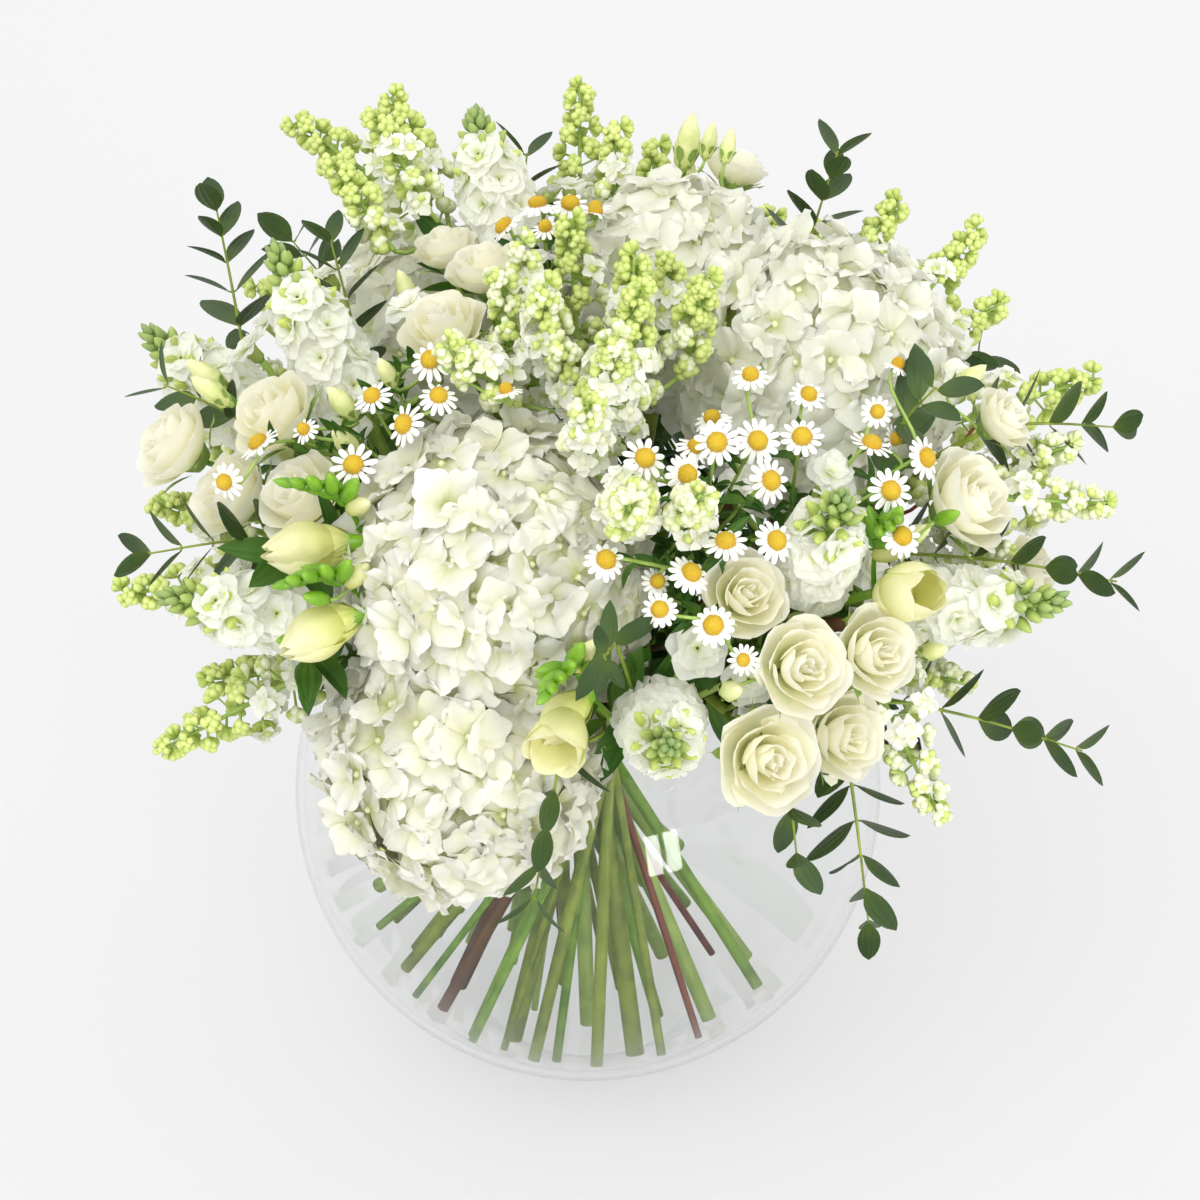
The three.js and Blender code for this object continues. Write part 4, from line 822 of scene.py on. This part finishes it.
def twine_paint():
    """Twisted strands that run slanting round the cord."""
    paint = Paint("twine")
    along, sideways, _ = paint.marks()
    strands = paint.math("SINE", paint.sum(along, 900.0, paint.math("MULTIPLY", sideways, 6.28)))
    colour = paint.ramp(paint.math("ADD", strands, paint.noise(300.0)), {0.2: "#7a5f38", 1.0: "#c9ad7c"})
    paint.bump(strands, 0.8, 0.0005)
    paint.set(Base_Color=colour, Roughness=0.9, Sheen_Weight=0.3)


# The glow given to the petal paints is painted light: emission that brightens the petals in shade.
def make_paints():
    # hydrangea petal roots: partly their own yellow-green, partly painted shade deepened for the folds
    # between florets
    petal_paint("hydrangea_petals", {0.0: "#bcc670", 0.3: "#e7e8ca", 0.6: "#f1f1e7", 1.0: "#f4f4ef"},
                "#efecd2", spread=0.4, see_through=0.25, painted_glow=0.02)
    # whiter petal colour and a stronger painted glow, which lifts the shade on the hydrangeas at the back
    petal_paint("white_brightened_hydrangea_petals", {0.0: "#c6cf80", 0.3: "#eeefdc", 1.0: "#f9f9f4"},
                "#f4f2e0", spread=0.4, see_through=0.3, painted_glow=0.05)
    petal_paint("lilac_florets", {0.0: "#e2eab0", 0.4: "#fbfbf3", 1.0: "#fefefb"},
                "#f6f7e0", see_through=0.2, painted_glow=0.02)
    petal_paint("stock_petals", {0.0: "#dde886", 0.3: "#fbfcf0", 1.0: "#fffffb"},
                "#fcfcf6", see_through=0.45, painted_glow=0.08)
    petal_paint("stock_buds", {0.0: "#6b8f36", 0.4: "#b4c84c", 1.0: "#e6ee84"}, "#7f9c66", spread=0.85)
    petal_paint("rose_petals", {0.0: "#dce680", 0.4: "#fcfae0", 1.0: "#fefdf8"},
                "#fdf9dc", see_through=0.4, painted_glow=0.05)
    petal_paint("freesia_petals", {0.0: "#9cc32e", 0.22: "#e9ec84", 1.0: "#fbf8d8"},
                "#f4f1ae", rough=0.4, see_through=0.3, painted_glow=0.03)
    petal_paint("chamomile_rays", {0.0: "#f3f4e6", 1.0: "#fefefd"}, "#ffffff", veins=6)
    petal_paint("eucalyptus_leaves", {0.0: "#54692c", 0.5: "#364d27", 1.0: "#304625"},
                "#56703a", rough=0.5, veins=12, gloss=0.35)
    petal_paint("green_leaves", {0.0: "#76983a", 0.5: "#3a641e", 1.0: "#32581c"},
                "#5a8430", rough=0.5, veins=10, gloss=0.35)
    # the core shows only in the gaps between florets: its olive is partly its own green, partly painted
    # shade
    grain_paint("hydrangea_hearts", "#c3cf86", "#eaedc4", 500.0, 0.6)
    grain_paint("hydrangea_core", "#8f9f4c", "#bac678", 90.0, 0.8)
    grain_paint("lilac_buds", "#a5bc4f", "#dbe68e", 260.0, 0.55)
    grain_paint("lilac_opening_buds", "#d3df92", "#f4f6da", 260.0, 0.55)
    grain_paint("rose_buds", "#bccb66", "#f0f0b8", 160.0, 0.6)
    grain_paint("sepals", "#6f8f3c", "#93ad57", 200.0, 0.55)
    grain_paint("freesia_buds", "#4c8612", "#86b62c", 160.0, 0.28, 0.1)
    grain_paint("chamomile_domes", "#dc9c0a", "#f8d235", 1500.0, 0.7, 1.0)
    grain_paint("cut_ends", "#b9a877", "#d9d2a6", 500.0, 0.8)
    stem_paint("green_stems", "#8ab438", "#47781e")
    stem_paint("pale_green_stems", "#aeca66", "#8cab4a")
    stem_paint("brown_stems", "#7a5430", "#4a3220", 0.65)
    stem_paint("red_brown_stems", "#8c4830", "#5f3020", 0.55)
    stem_paint("olive_stems", "#9aac3c", "#627828", 0.55)
    twine_paint()
    Paint("clear_glass").set(
        Base_Color=GLASS_TINT, Roughness=0.0, IOR=GLASS_INDEX, Transmission_Weight=1.0)
    Paint("pale_table").set(
        Base_Color=(TABLE_GREY, TABLE_GREY, TABLE_GREY, 1), Roughness=1.0, Specular_IOR_Level=0.0,
        Emission_Color=(1, 1, 1, 1), Emission_Strength=TABLE_GLOW)


# ---------------------------------------------------------------- flowers
class Draws:
    """Seeded draws, the same in every run."""

    def __init__(self, seed):
        self.source = np.random.default_rng(seed)

    def __call__(self, low=0.0, high=1.0):
        return float(self.source.uniform(low, high))

    def one_of(self, options):
        return options[int(self.source.integers(len(options)))]


def hydrangea(mass, head, draw):
    """Broad four-petalled florets all over a ball, each a little tilted, over a green core whose darker
    olive is partly painted shade.
    """
    size = head.size
    petals = "white_brightened_hydrangea_petals" if head.plant.name in WHITE_BRIGHTENED_HYDRANGEAS else "hydrangea_petals"
    count = int(4 * pi * size * size / FLORET_AREA)
    for i in range(count):
        up = 1 - 2 * (i + 0.5) / count
        ring = sqrt(1 - up * up)
        out = (across(head.aim, i * GOLDEN) * ring + head.aim * up).normalized()
        at = head.at + out * size * draw(0.88, 0.95)
        if any((at - other.at).length < 0.9 * other.size for other in head.neighbours):
            continue
        tilt = across(out, draw(*ANY_ANGLE))
        normal = (out + tilt * draw(0, 0.5)).normalized()
        spin = draw(0, 1.57)
        lift = draw.one_of([0.05, 0.15, 0.25, 0.6])
        tone = draw()
        mass.petals(at, normal, 4, lift, 1.2, spin, lambda: blade(
            BROAD, draw(15, 19), draw(16, 20.5), 7, 7, cup=draw(-1.5, 2.5), curl=draw(-4.5, 0.8),
            ruffle=draw(0.8, 2.2), waves=draw(1.0, 2.8), phase=draw(*ANY_ANGLE), round_tip=0.22, tone=tone),
            petals)
        mass.put(turned(HYDRANGEA_HEART, 6, tone=draw()), at, stand(normal), "hydrangea_hearts")
    mass.put(turned(BALL, 20, size, size), head.at, stand(head.aim), "hydrangea_core")


def lilac(mass, head, draw):
    """Short branchlets round an axis, each with a cluster of four-lobed buds; low ones are open."""
    aim, root, length = head.aim, head.root, head.size
    pale = head.plant.name in PALE_LILACS
    mass.tube([root - aim * 3, root + aim * length * 0.93], 1.6, 6, "pale_green_stems", 0.7)
    branches = int(length / 3.4)
    for i in range(branches):
        share = (i + 0.6) / branches
        wide = 0.19 * length * np.interp(share, np.linspace(0.03, 0.9, 7), LILAC_WIDTHS) * draw(0.8, 1.12)
        out = (across(aim, i * GOLDEN) + aim * 0.35).normalized()
        start = root + aim * length * share * 0.94
        end = start + out * max(wide - 3.5, 2)
        mass.tube([start, start + (end - start) * 0.6, end], 0.6, 4, "pale_green_stems")
        is_open = share < 0.62 and draw() < (0.55 if pale else 0.3)
        for j in range(draw.one_of([2, 3]) if is_open else 0):
            normal = (out + across(out, j * 2.1 + draw()) * 0.7).normalized()
            at = end + normal * 5
            mass.petals(at, normal, 4, 0.15, 0.6, draw(0, 1.5), lambda: blade(
                ROUND, draw(6.3, 7.4), draw(5.6, 6.6), 4, 4, cup=1.2, curl=draw(-0.8, 0.8), round_tip=0.3,
                tone=draw()), "lilac_florets")
            mass.put(turned(LILAC_TUBE, 5), at, stand(normal), "lilac_opening_buds")
        bud_count = 4 if is_open else 8
        for j in range(bud_count):
            lean = across(out, j * GOLDEN) * sqrt((j + 0.4) / bud_count) * 0.95
            way = (out * (1 - 0.5 * j / bud_count) + lean).normalized()
            at = end + way * draw(3.4, 5.0)
            bulk = draw(2.5, 3.2) * (1.05 - 0.3 * share)
            bud = turned(LILAC_BUD, 8, bulk, bulk, 4, 0.2, tone=draw())
            turn = stand(way, draw())
            opening = (pale or share < 0.4) and draw() < 0.6
            mass.put(bud, at, turn, "lilac_opening_buds" if opening else "lilac_buds")


def ruffled(mass, at, normal, size, draw):
    """A double floret: three tiers of ruffled petals."""
    for count, reach, lift, spin in STOCK_TIERS:
        mass.petals(at, normal, count, lift, 0.6, spin + draw(0, 0.6), lambda: blade(
            ROUND, size * reach * draw(0.9, 1.08), size * reach * 1.15, 6, 7, cup=draw(0.5, 2.5),
            curl=draw(-3.0, 0.5), ruffle=0.8, waves=draw(1.0, 1.8), phase=draw(*ANY_ANGLE), tone=draw()),
            "stock_petals")


def stock(mass, head, draw):
    """Ruffled double florets up a thick stem that curves upwards, and a knob of closed buds at its tip."""
    length, aim, root = head.size, head.aim, head.root
    rise = UP - aim * aim.z

    def on_spike(share):
        return root + aim * share * length + rise * 0.15 * length * share ** 2

    mass.tube([root - aim * 4, *[on_spike(step / 6) for step in range(6)]], 3.4, 8, "pale_green_stems", 1.8)
    for i in range(17):
        share = 0.05 + 0.035 * i
        way = (across(aim, i * GOLDEN + 0.2) + aim * (0.15 + 0.75 * share)).normalized()
        ruffled(mass, on_spike(share) + way * (13.5 - 3 * share), way, 15 - 4.5 * share, draw)
    tip = (aim + rise * 0.3).normalized()
    for i in range(26):
        late = i / 25
        way = (across(tip, i * GOLDEN) * (1.1 - 0.8 * late) + tip * (0.5 + 0.6 * late)).normalized()
        foot = on_spike(0.54 + 0.32 * late)
        at = foot + way * (8.5 - 4.5 * late)
        mass.tube([foot, foot.lerp(at, 0.6), at], 0.9, 5, "pale_green_stems")
        tone = min(1.0, 0.3 * draw() + 0.8 * late)
        mass.put(bud_shape(7.2 - 3.0 * late, 11 - 4.5 * late, tone, 4), at, stand(way), "stock_buds")


def rose(mass, head, draw):
    """Tiers of cupped petals, each tucked under the next, over five narrow sepals; or a pointed bud."""
    aim, size = head.aim, head.size
    if size < ROSE_BUD_SIZE:
        foot = head.at - aim * size
        mass.put(bud_shape(size * 1.5, size * 3, draw(), 3), foot, stand(aim), "rose_buds")
        for i in range(SEPALS):
            way = across(aim, i * SEPAL_ANGLE)
            sepal = blade(LANCE, size * 1.6, size * 0.5, 5, 3, cup=1, curl=-0.5, tone=draw())
            mass.put(sepal, foot + way * size * 0.4, axes(aim + way * 0.35, -way), "sepals")
        return
    turn = draw(*ANY_ANGLE)
    for count, radius, top, spread, flare in ROSE_TIERS:
        for _ in range(count):
            turn += 2 * pi / count * draw(0.92, 1.08)
            petal = cup_petal(radius * size, -0.75 * size, (top + draw(-0.05, 0.05)) * size, spread,
                              flare * size, size * 0.05, draw(*ANY_ANGLE), draw(), skew=0.07 * size)
            mass.put(petal, head.at, stand(aim, turn), "rose_petals")
        turn += 0.7
    mass.put(turned(ROSE_CUP, 10, size, size), head.at, stand(aim), "sepals")
    for i in range(SEPALS):
        way = across(aim, i * SEPAL_ANGLE + 0.3)
        sepal = blade(LANCE, size, size * 0.28, 5, 3, cup=0.6, curl=-2.0, tone=draw())
        place = head.at - aim * 0.85 * size + way * 0.4 * size
        mass.put(sepal, place, axes(way * 0.8 + aim * 0.6, aim), "sepals")


def tulip_bloom(mass, at, way, size, draw, opening):
    """Six petals in two tiers round a narrow cup; the lower the opening, the more it closes at its tip."""
    for i in range(6):
        outer = 0.06 * (i % 2)
        petal = cup_petal(size * (0.46 + outer), -0.5 * size, size * (0.86 - outer), 1.15,
                          size * opening * draw(0.9, 1.05), 0.01 * size, draw(*ANY_ANGLE), draw(),
                          12, 11, 0.3, skew=0.02 * size, round_top=0.6, droop=0.15)
        mass.put(petal, at, stand(way, i * pi / 3), "freesia_petals")
    mass.put(turned(TULIP_CUP, 8, size, size), at, stand(way), "freesia_buds")


def freesia(mass, head, draw):
    """Tulip-shaped blooms, and over them two rows of glossy closed buds along the arching tip."""
    aim, root, length = head.aim, head.root, head.size
    rise = (UP - aim * aim.z).normalized()
    second_aim = (aim - across(aim, SIDE_ANGLE) * 0.8).normalized()
    size, opening = BLOOM_SHAPE.get(head.plant.name, CLOSED_BLOOM)
    tulip_bloom(mass, root + aim * 0.34 * length, aim, size * length, draw, opening)
    tulip_bloom(mass, root + aim * 0.2 * length, second_aim, 0.34 * length, draw, -0.34)
    bends = [root + aim * forward * length + rise * up * length
             for forward, up in ((0.06, 0.22), (0.22, 0.42), (0.52, 0.52))]
    row = smooth_path([root - aim * 3, *bends])
    mass.tube(row, 1.4, 6, "freesia_buds", 0.5)
    for i in range(10):
        share = i / 9
        at, ahead = along_path(row, 0.42 + 0.58 * share)
        turn = across(ahead, (i % 2) * pi * 0.8 + draw(-0.2, 0.2) + 1.0)
        way = (ahead * (0.55 + 0.8 * share) + turn * (1 - 0.4 * share)).normalized()
        bud = bud_shape(9.0 - 4.2 * share, 18 - 8.5 * share, draw())
        mass.put(bud, at, stand(way), "freesia_buds" if i else "freesia_petals")


def daisy(mass, at, aim, draw, scale=1.0):
    """Blunt white rays round a golden dome, on a small green cup; some lie back and some lean over."""
    aim = (aim + across(aim, draw(*ANY_ANGLE)) * draw(0, 0.75)).normalized()
    long = draw(5.9, 7.2) * scale
    mass.petals(at, aim, draw.one_of([12, 13, 14]), draw(-0.4, 0.1), 3.2 * scale, draw(), lambda: blade(
        RAY, long * draw(0.92, 1.06), draw(2.4, 2.9) * scale, 5, 4, cup=-0.3, curl=draw(-1.6, 0.4),
        round_tip=0.12, tone=draw()), "chamomile_rays")
    mass.put(turned(DAISY_DOME, 12, scale, 1.0, 6, 0.05), at, stand(aim), "chamomile_domes")
    cup = [(0, -3.2), (1.6, -2.6), (3.2 * scale, -0.8), (3.4 * scale, -0.2)]
    mass.put(turned(cup, 8), at, stand(aim), "sepals")


def chamomile(mass, head, draw):
    daisy(mass, head.at, head.aim, draw)


def eucalyptus(mass, head, draw):
    """Pairs of ovate leaves, each pair turned against the one before, on a fine arching spine."""
    aim, length = head.aim, head.size
    broad = 0.62 if head.plant.name in NARROW_LEAVED else 1.0
    spine = smooth_path(spine_of(head), 5)
    pairs = max(4, round(length / 13.5))
    for i in range(pairs):
        share = 0.04 + 0.93 * i / (pairs - 1)
        at, _ = along_path(spine, share)
        for turn in (0, pi):
            out = across(aim, 0.4 + i * 0.55 + turn + draw(-0.35, 0.35))
            way = (out + aim * (0.5 + 0.5 * share)).normalized()
            size = (30 - 9.5 * share) * draw(0.85, 1.1)
            leaf = blade(OVATE, size, size * broad * draw(0.46, 0.6), 9, 5, cup=draw(0.6, 1.6),
                         curl=draw(-3.5, 1.5), tone=draw(), round_tip=0.0)
            mass.put(leaf, at + out * 1.2, axes(way, aim - way * aim.dot(way)), "eucalyptus_leaves")
            mass.tube([at, at + out * 0.8 + way * 1.2], 0.5, 4, "olive_stems")


KINDS = {       # what draws the heads, what they are called, their slot, and the barks of the stems
    "hydrangea": (hydrangea, "florets", "hydrangea_petals", ["olive_stems", "brown_stems"]),
    "lilac": (lilac, "panicle", "lilac", ["green_stems", "brown_stems", "olive_stems"]),
    "stock": (stock, "spike", "stock", ["pale_green_stems"]),
    "rose": (rose, "blooms", "cream_petals", ["green_stems", "olive_stems"]),
    "freesia": (freesia, "blooms", "freesia", ["green_stems"]),
    "chamomile": (chamomile, "daisies", "chamomile", ["pale_green_stems"]),
    "eucalyptus": (eucalyptus, "leaves", "eucalyptus", ["red_brown_stems", "olive_stems", "green_stems"]),
}


# ---------------------------------------------------------------- leaves and small blooms that fill gaps
def inside_box(point, margin):
    low, high = CAD_BOX
    return all(a / MM + margin - 6 < p < b / MM - margin + 6 for a, p, b in zip(low, point, high))


def over_glass(point):
    """How far a point is from the bowl's outside, or above its open mouth."""
    if point.z > MOUTH_Z + 6 and hypot(point.x, point.y) < LIP_RADIUS + 10:
        return point.z - MOUTH_Z
    return (point - BOWL_CENTRE).length - BOWL_RADIUS


class Space:
    """What already fills the bouquet, as balls, so that small extras go where there is room."""

    def __init__(self, balls):
        self.at = [list(at) for at, radius, head in balls]
        self.radius = [radius for at, radius, head in balls]

    def clearance(self, point):
        away = np.linalg.norm(np.array(self.at) - np.array(list(point)), axis=1) - np.array(self.radius)
        return float(away.min())

    def find(self, near, low, high, radius, draw):
        """The roomiest of some random places round a head, hardly further out or lower than the head."""
        best, most = None, -SLACK
        outer, lowest = (near - FOCUS).length + 7, near.z - 14
        for _ in range(TRIES):
            way = Vector([draw(-1, 1) for _ in range(3)]).normalized()
            point = near + way * draw(low, high)
            if (point - FOCUS).length > outer or point.z < lowest or not inside_box(point, radius):
                continue
            if over_glass(point) < radius + 3:
                continue
            room = self.clearance(point) - radius
            if room > most:
                best, most = point, room
        if best is not None:
            self.at.append(list(best))
            self.radius.append(radius)
        return best


def stem_leaves(mass, line, draw, space, paint, share, long):
    """Narrow leaves on the upper part of a stem, where nothing is in their way."""
    points = smooth_path(line.points)
    for k, point in enumerate(points[:-2]):
        ahead = (points[k + 1] - point).normalized()
        for _ in range(2):
            out = across(ahead, draw(*ANY_ANGLE))
            way = (out + ahead * draw(0.4, 1.1)).normalized()
            size = draw(*long)
            if point.z < MOUTH_Z + 12 or draw() > share:
                continue
            middle, tip = point + way * size * 0.55, point + way * size
            near_glass = min(over_glass(tip), over_glass(middle)) < 8
            if near_glass or space.clearance(tip) < 0 or space.clearance(middle) < 1:
                continue
            leaf = blade(LANCE, size, size * 0.34, 8, 5, cup=draw(1, 3), curl=draw(-8, 2), ruffle=0.5,
                         tone=draw(), round_tip=0.0)
            mass.put(leaf, point + out * line.radius * 0.6, axes(way, ahead), paint)


def nearest_on(lines, plant, point):
    """The place on a plant's own stems that is nearest to a point, and the way the stem runs there."""
    spans = []
    for line in lines:
        if line.plant is plant and line.role != "spine":
            path = smooth_path(line.points)
            spans.extend(zip(path[:-1], path[1:]))

    def cost(span):
        return (span[0] - point).length + (1000 if span[0].z < MOUTH_Z + 6 else 0)

    before, after = min(spans, key=cost)
    return before, (after - before).normalized()


def small_bloom(plant, blooms, at, aim, draw):
    """A small flower or bud of the plant's kind; gives the length behind its middle where its twig ends."""
    if plant.kind == "chamomile":
        daisy(blooms, at, aim, draw, draw(0.62, 0.9))
        return 3.0
    if plant.kind == "rose":
        bud = Head(plant, at, draw(5.5, 7.5), aim)
        rose(blooms, bud, draw)
        return bud.size
    if plant.kind == "lilac":
        panicle = Head(plant, at, draw(44, 54), aim)
        lilac(blooms, panicle, draw)
        return panicle.size * 0.5
    if plant.kind == "stock":
        ruffled(blooms, at, aim, draw(11, 13.5), draw)
        blooms.put(turned(STOCK_CUP, 8), at, stand(aim), "stock_buds")
        return 8.0
    blooms.put(bud_shape(7, 16, draw()), at - aim * 6, stand(aim), "freesia_buds")
    return 6.0


def extra_blooms(plant, blooms, stalk, lines, space, draw):
    """Smaller flowers and buds that fill the gaps between the heads, each on a twig of its plant."""
    count, room, spread, twig_radius = EXTRAS.get(plant.kind, (0, 0, (0, 0), 0))
    for number in range(count):
        head = plant.heads[number % len(plant.heads)]
        at = space.find(head.at, *spread, room, draw)
        if at is None:
            continue
        aim = (outwards(at) + head.aim * 0.4).normalized()
        end = at - aim * small_bloom(plant, blooms, at, aim, draw)
        start, way = nearest_on(lines, plant, end)
        long = (end - start).length
        twig = bezier(start, start + way * 0.35 * long, end - aim * 0.35 * long, end, 8)
        stalk.tube(twig, twig_radius, 6, "pale_green_stems")


def make_plant(plant, lines, space):
    """The heads of a plant as one piece, and its stems, twigs and stem leaves as another."""
    kind = plant.kind
    draw = Draws(100 + plant.order)
    form, bloom_name, slot, barks = KINDS[kind]
    bark = barks[plant.order % len(barks)]
    blooms, stalk = Mass(), Mass()
    for head in plant.heads:
        form(blooms, head, draw)
    for line in lines:
        if line.plant is not plant:
            continue
        tone = draw()
        path = smooth_path(line.points)
        if line.role == "stem":
            foot, top = line.points[:2]
            knots = [draw(0.05, 0.5) for _ in range(2)] if kind in KNOTTED else ()
            path = [foot, foot.lerp(top, 0.5), *smooth_path(line.points[1:])]
            stalk.tube(path, line.radius, 12, bark, cut="cut_ends", tone=tone, knots=knots)
            stem_leaves(stalk, line, draw, space, *STEM_LEAVES.get(kind, USUAL_LEAVES))
        elif line.role == "twig":
            stalk.tube(path, line.radius, 8, bark, tone=tone)
            if kind in TWIG_LEAVES:
                stem_leaves(stalk, line, draw, space, *TWIG_LEAVES[kind])
        elif kind == "eucalyptus":
            stalk.tube(path, 0.85 * line.radius, 8, "olive_stems", 0.4, tone=tone)
    extra_blooms(plant, blooms, stalk, lines, space, draw)
    if kind == "hydrangea":
        blooms.finish(f"{plant.name}_{bloom_name}", f"{plant.name}_head", slot)
        stalk.finish(f"{plant.name}_stalk", f"{plant.name}_stem", "green_stems")
    else:
        blooms.finish(f"{plant.name}_{bloom_name}", plant.name, slot)
        stalk.finish(f"{plant.name}_stalk", plant.name, slot)


# ---------------------------------------------------------------- bowl and tie
def arc(radius, low, high):
    """Points of a ball's side between two heights, evenly spaced round it."""
    steps = 48
    first = asin((low - BOWL_CENTRE_Z) / radius)
    last = asin((high - BOWL_CENTRE_Z) / radius)
    angles = [first + (last - first) * i / steps for i in range(steps + 1)]
    return [(radius * cos(a), BOWL_CENTRE_Z + radius * sin(a)) for a in angles]


def make_bowl():
    """A turned shell of glass with a rounded lip, a flat foot and a soft inner corner at its floor."""
    outside = arc(BOWL_RADIUS, 0.6, MOUTH_Z)
    inside = arc(BOWL_RADIUS - GLASS, FLOOR_Z + 2.2, MOUTH_Z)
    rim = GLASS * 0.62
    middle = (outside[-1][0] + inside[-1][0]) / 2
    lip = [(middle + rim * cos(pi * i / 8), MOUTH_Z + 0.6 + rim * sin(pi * i / 8))
           for i in range(9)]
    flat, floor = outside[0][0], inside[0][0]
    bowl = Mass()
    bowl.add(*turned([
        (0, 0), (flat * 0.5, 0), (flat - 2, 0), *outside, *lip, *reversed(inside),
        (floor - 5, FLOOR_Z + 0.6), (floor * 0.6, FLOOR_Z), (0, FLOOR_Z)], 144), "clear_glass")
    bowl.finish("glass_bowl", "bowl", "glass")


def tight_loop(lines, height, thick):
    """The line a taut string takes round all the stems at a height."""
    rims = []
    for line in lines:
        if line.role == "stem":
            foot, top = line.points[:2]
            at = foot.lerp(top, (height - foot.z) / (top.z - foot.z))
            reach = 1.05 * line.radius + thick
            for i in range(16):
                angle = pi * i / 8
                rims.append((at.x + reach * cos(angle), at.y + reach * sin(angle)))
    rims = np.array(rims)
    loop = []
    for i in range(120):
        angle = 2 * pi * i / 120
        x, y = rims[np.argmax(rims @ np.array([cos(angle), sin(angle)]))]
        corner = Vector((x, y, height))
        if not loop or (corner - loop[-1]).length > 0.4:
            loop.append(corner)
    return loop + [loop[0]]


def make_tie(lines):
    """Twine wound tightly round the stems at the waist, knotted at the back."""
    twine = Mass()
    for turn in range(TWINE_TURNS):
        height = WAIST.z + (turn - 1.5) * 2 * TWINE_RADIUS
        twine.tube(tight_loop(lines, height, TWINE_RADIUS), TWINE_RADIUS, 8, "twine")
    back = max(tight_loop(lines, WAIST.z, 2 * TWINE_RADIUS), key=lambda corner: corner.y)
    twine.put(turned(KNOT, 10), back, np.eye(3), "twine")
    for side in (-1, 1):
        tail = [back + Vector(step) for step in
                ((0, 0, 0), (5 * side, 1.0, 1), (8 * side, 0.8, -4), (9 * side, 0.6, -10))]
        twine.tube(smooth_path(tail, 5), TAIL_RADIUS, 8, "twine")
    twine.finish("twine_tie", "tie", "twine")


# ---------------------------------------------------------------- stage, light and camera
def make_stage():
    reach = TABLE_REACH
    mesh = bpy.data.meshes.new("table_top")
    mesh.from_pydata([(-reach, -reach, 0), (reach, -reach, 0), (reach, reach, 0), (-reach, reach, 0)], [],
                     [(0, 1, 2, 3)])
    mesh.materials.append(PAINT["pale_table"])
    floor = new_object("table_top", mesh)
    floor.location.z = -TABLE_DROP


def make_light():
    """An even pale studio: a bright sky that greys towards the horizon, and one wide soft lamp."""
    world = bpy.data.worlds.new("studio")
    bpy.context.scene.world = world
    world.use_nodes = True
    sky = Nodes(world.node_tree)
    height = sky.split(sky.add("TexCoord", {}).outputs["Generated"])[2]
    background = sky.tree.nodes["Background"]
    sky.feed(background.inputs[0], sky.ramp(height, {0.0: HORIZON, 0.7: ZENITH}))
    sky.feed(background.inputs[1], SKY_STRENGTH)
    light = bpy.data.lights.new("soft_lamp", "SUN")
    light.energy = LAMP_STRENGTH
    light.angle = radians(LAMP_ANGLE)
    new_object("soft_lamp", light).rotation_euler = LAMP_WAY.to_track_quat("-Z", "Y").to_euler()


def make_window():
    """A tall window in front and to the right: it fills the front and shines small in the bowl."""
    aim = (WINDOW_AIM - WINDOW_PLACE).normalized()
    for number, side in enumerate((-1, 1)):
        light = bpy.data.lights.new(f"window_pane_{number}", "AREA")
        light.shape = "RECTANGLE"
        light.size, light.size_y = PANE_WIDTH, PANE_HEIGHT
        light.energy = WINDOW_POWER
        pane = new_object(f"window_pane_{number}", light)
        pane.location = WINDOW_PLACE + aim.cross(UP).normalized() * PANE_OFFSET * side
        pane.rotation_euler = aim.to_track_quat("-Z", "Y").to_euler()


def make_camera():
    data = bpy.data.cameras.new("camera")
    data.lens, data.sensor_width = LENS, SENSOR
    camera = new_object("camera", data)
    camera.location = CAMERA_PLACE
    camera.rotation_euler = (radians(90 - CAMERA_PITCH), 0, 0)
    bpy.context.scene.camera = camera


make_paints()
make_camera()
make_stage()
make_light()
make_window()
bpy.context.scene.view_settings.view_transform = "Standard"

plants = []
for kind, rows in PLANTS.items():
    for number, heads in enumerate(rows, 1):
        plants.append(Plant(len(plants), kind, number, heads))
hydrangeas = [plant.heads[0] for plant in plants if plant.kind == "hydrangea"]
for head in hydrangeas:
    head.neighbours = [other for other in hydrangeas if other is not head]
lines = lay_out(plants)
space = Space(balls_of(plants))
for plant in plants:
    make_plant(plant, lines, space)
make_bowl()
make_tie(lines)
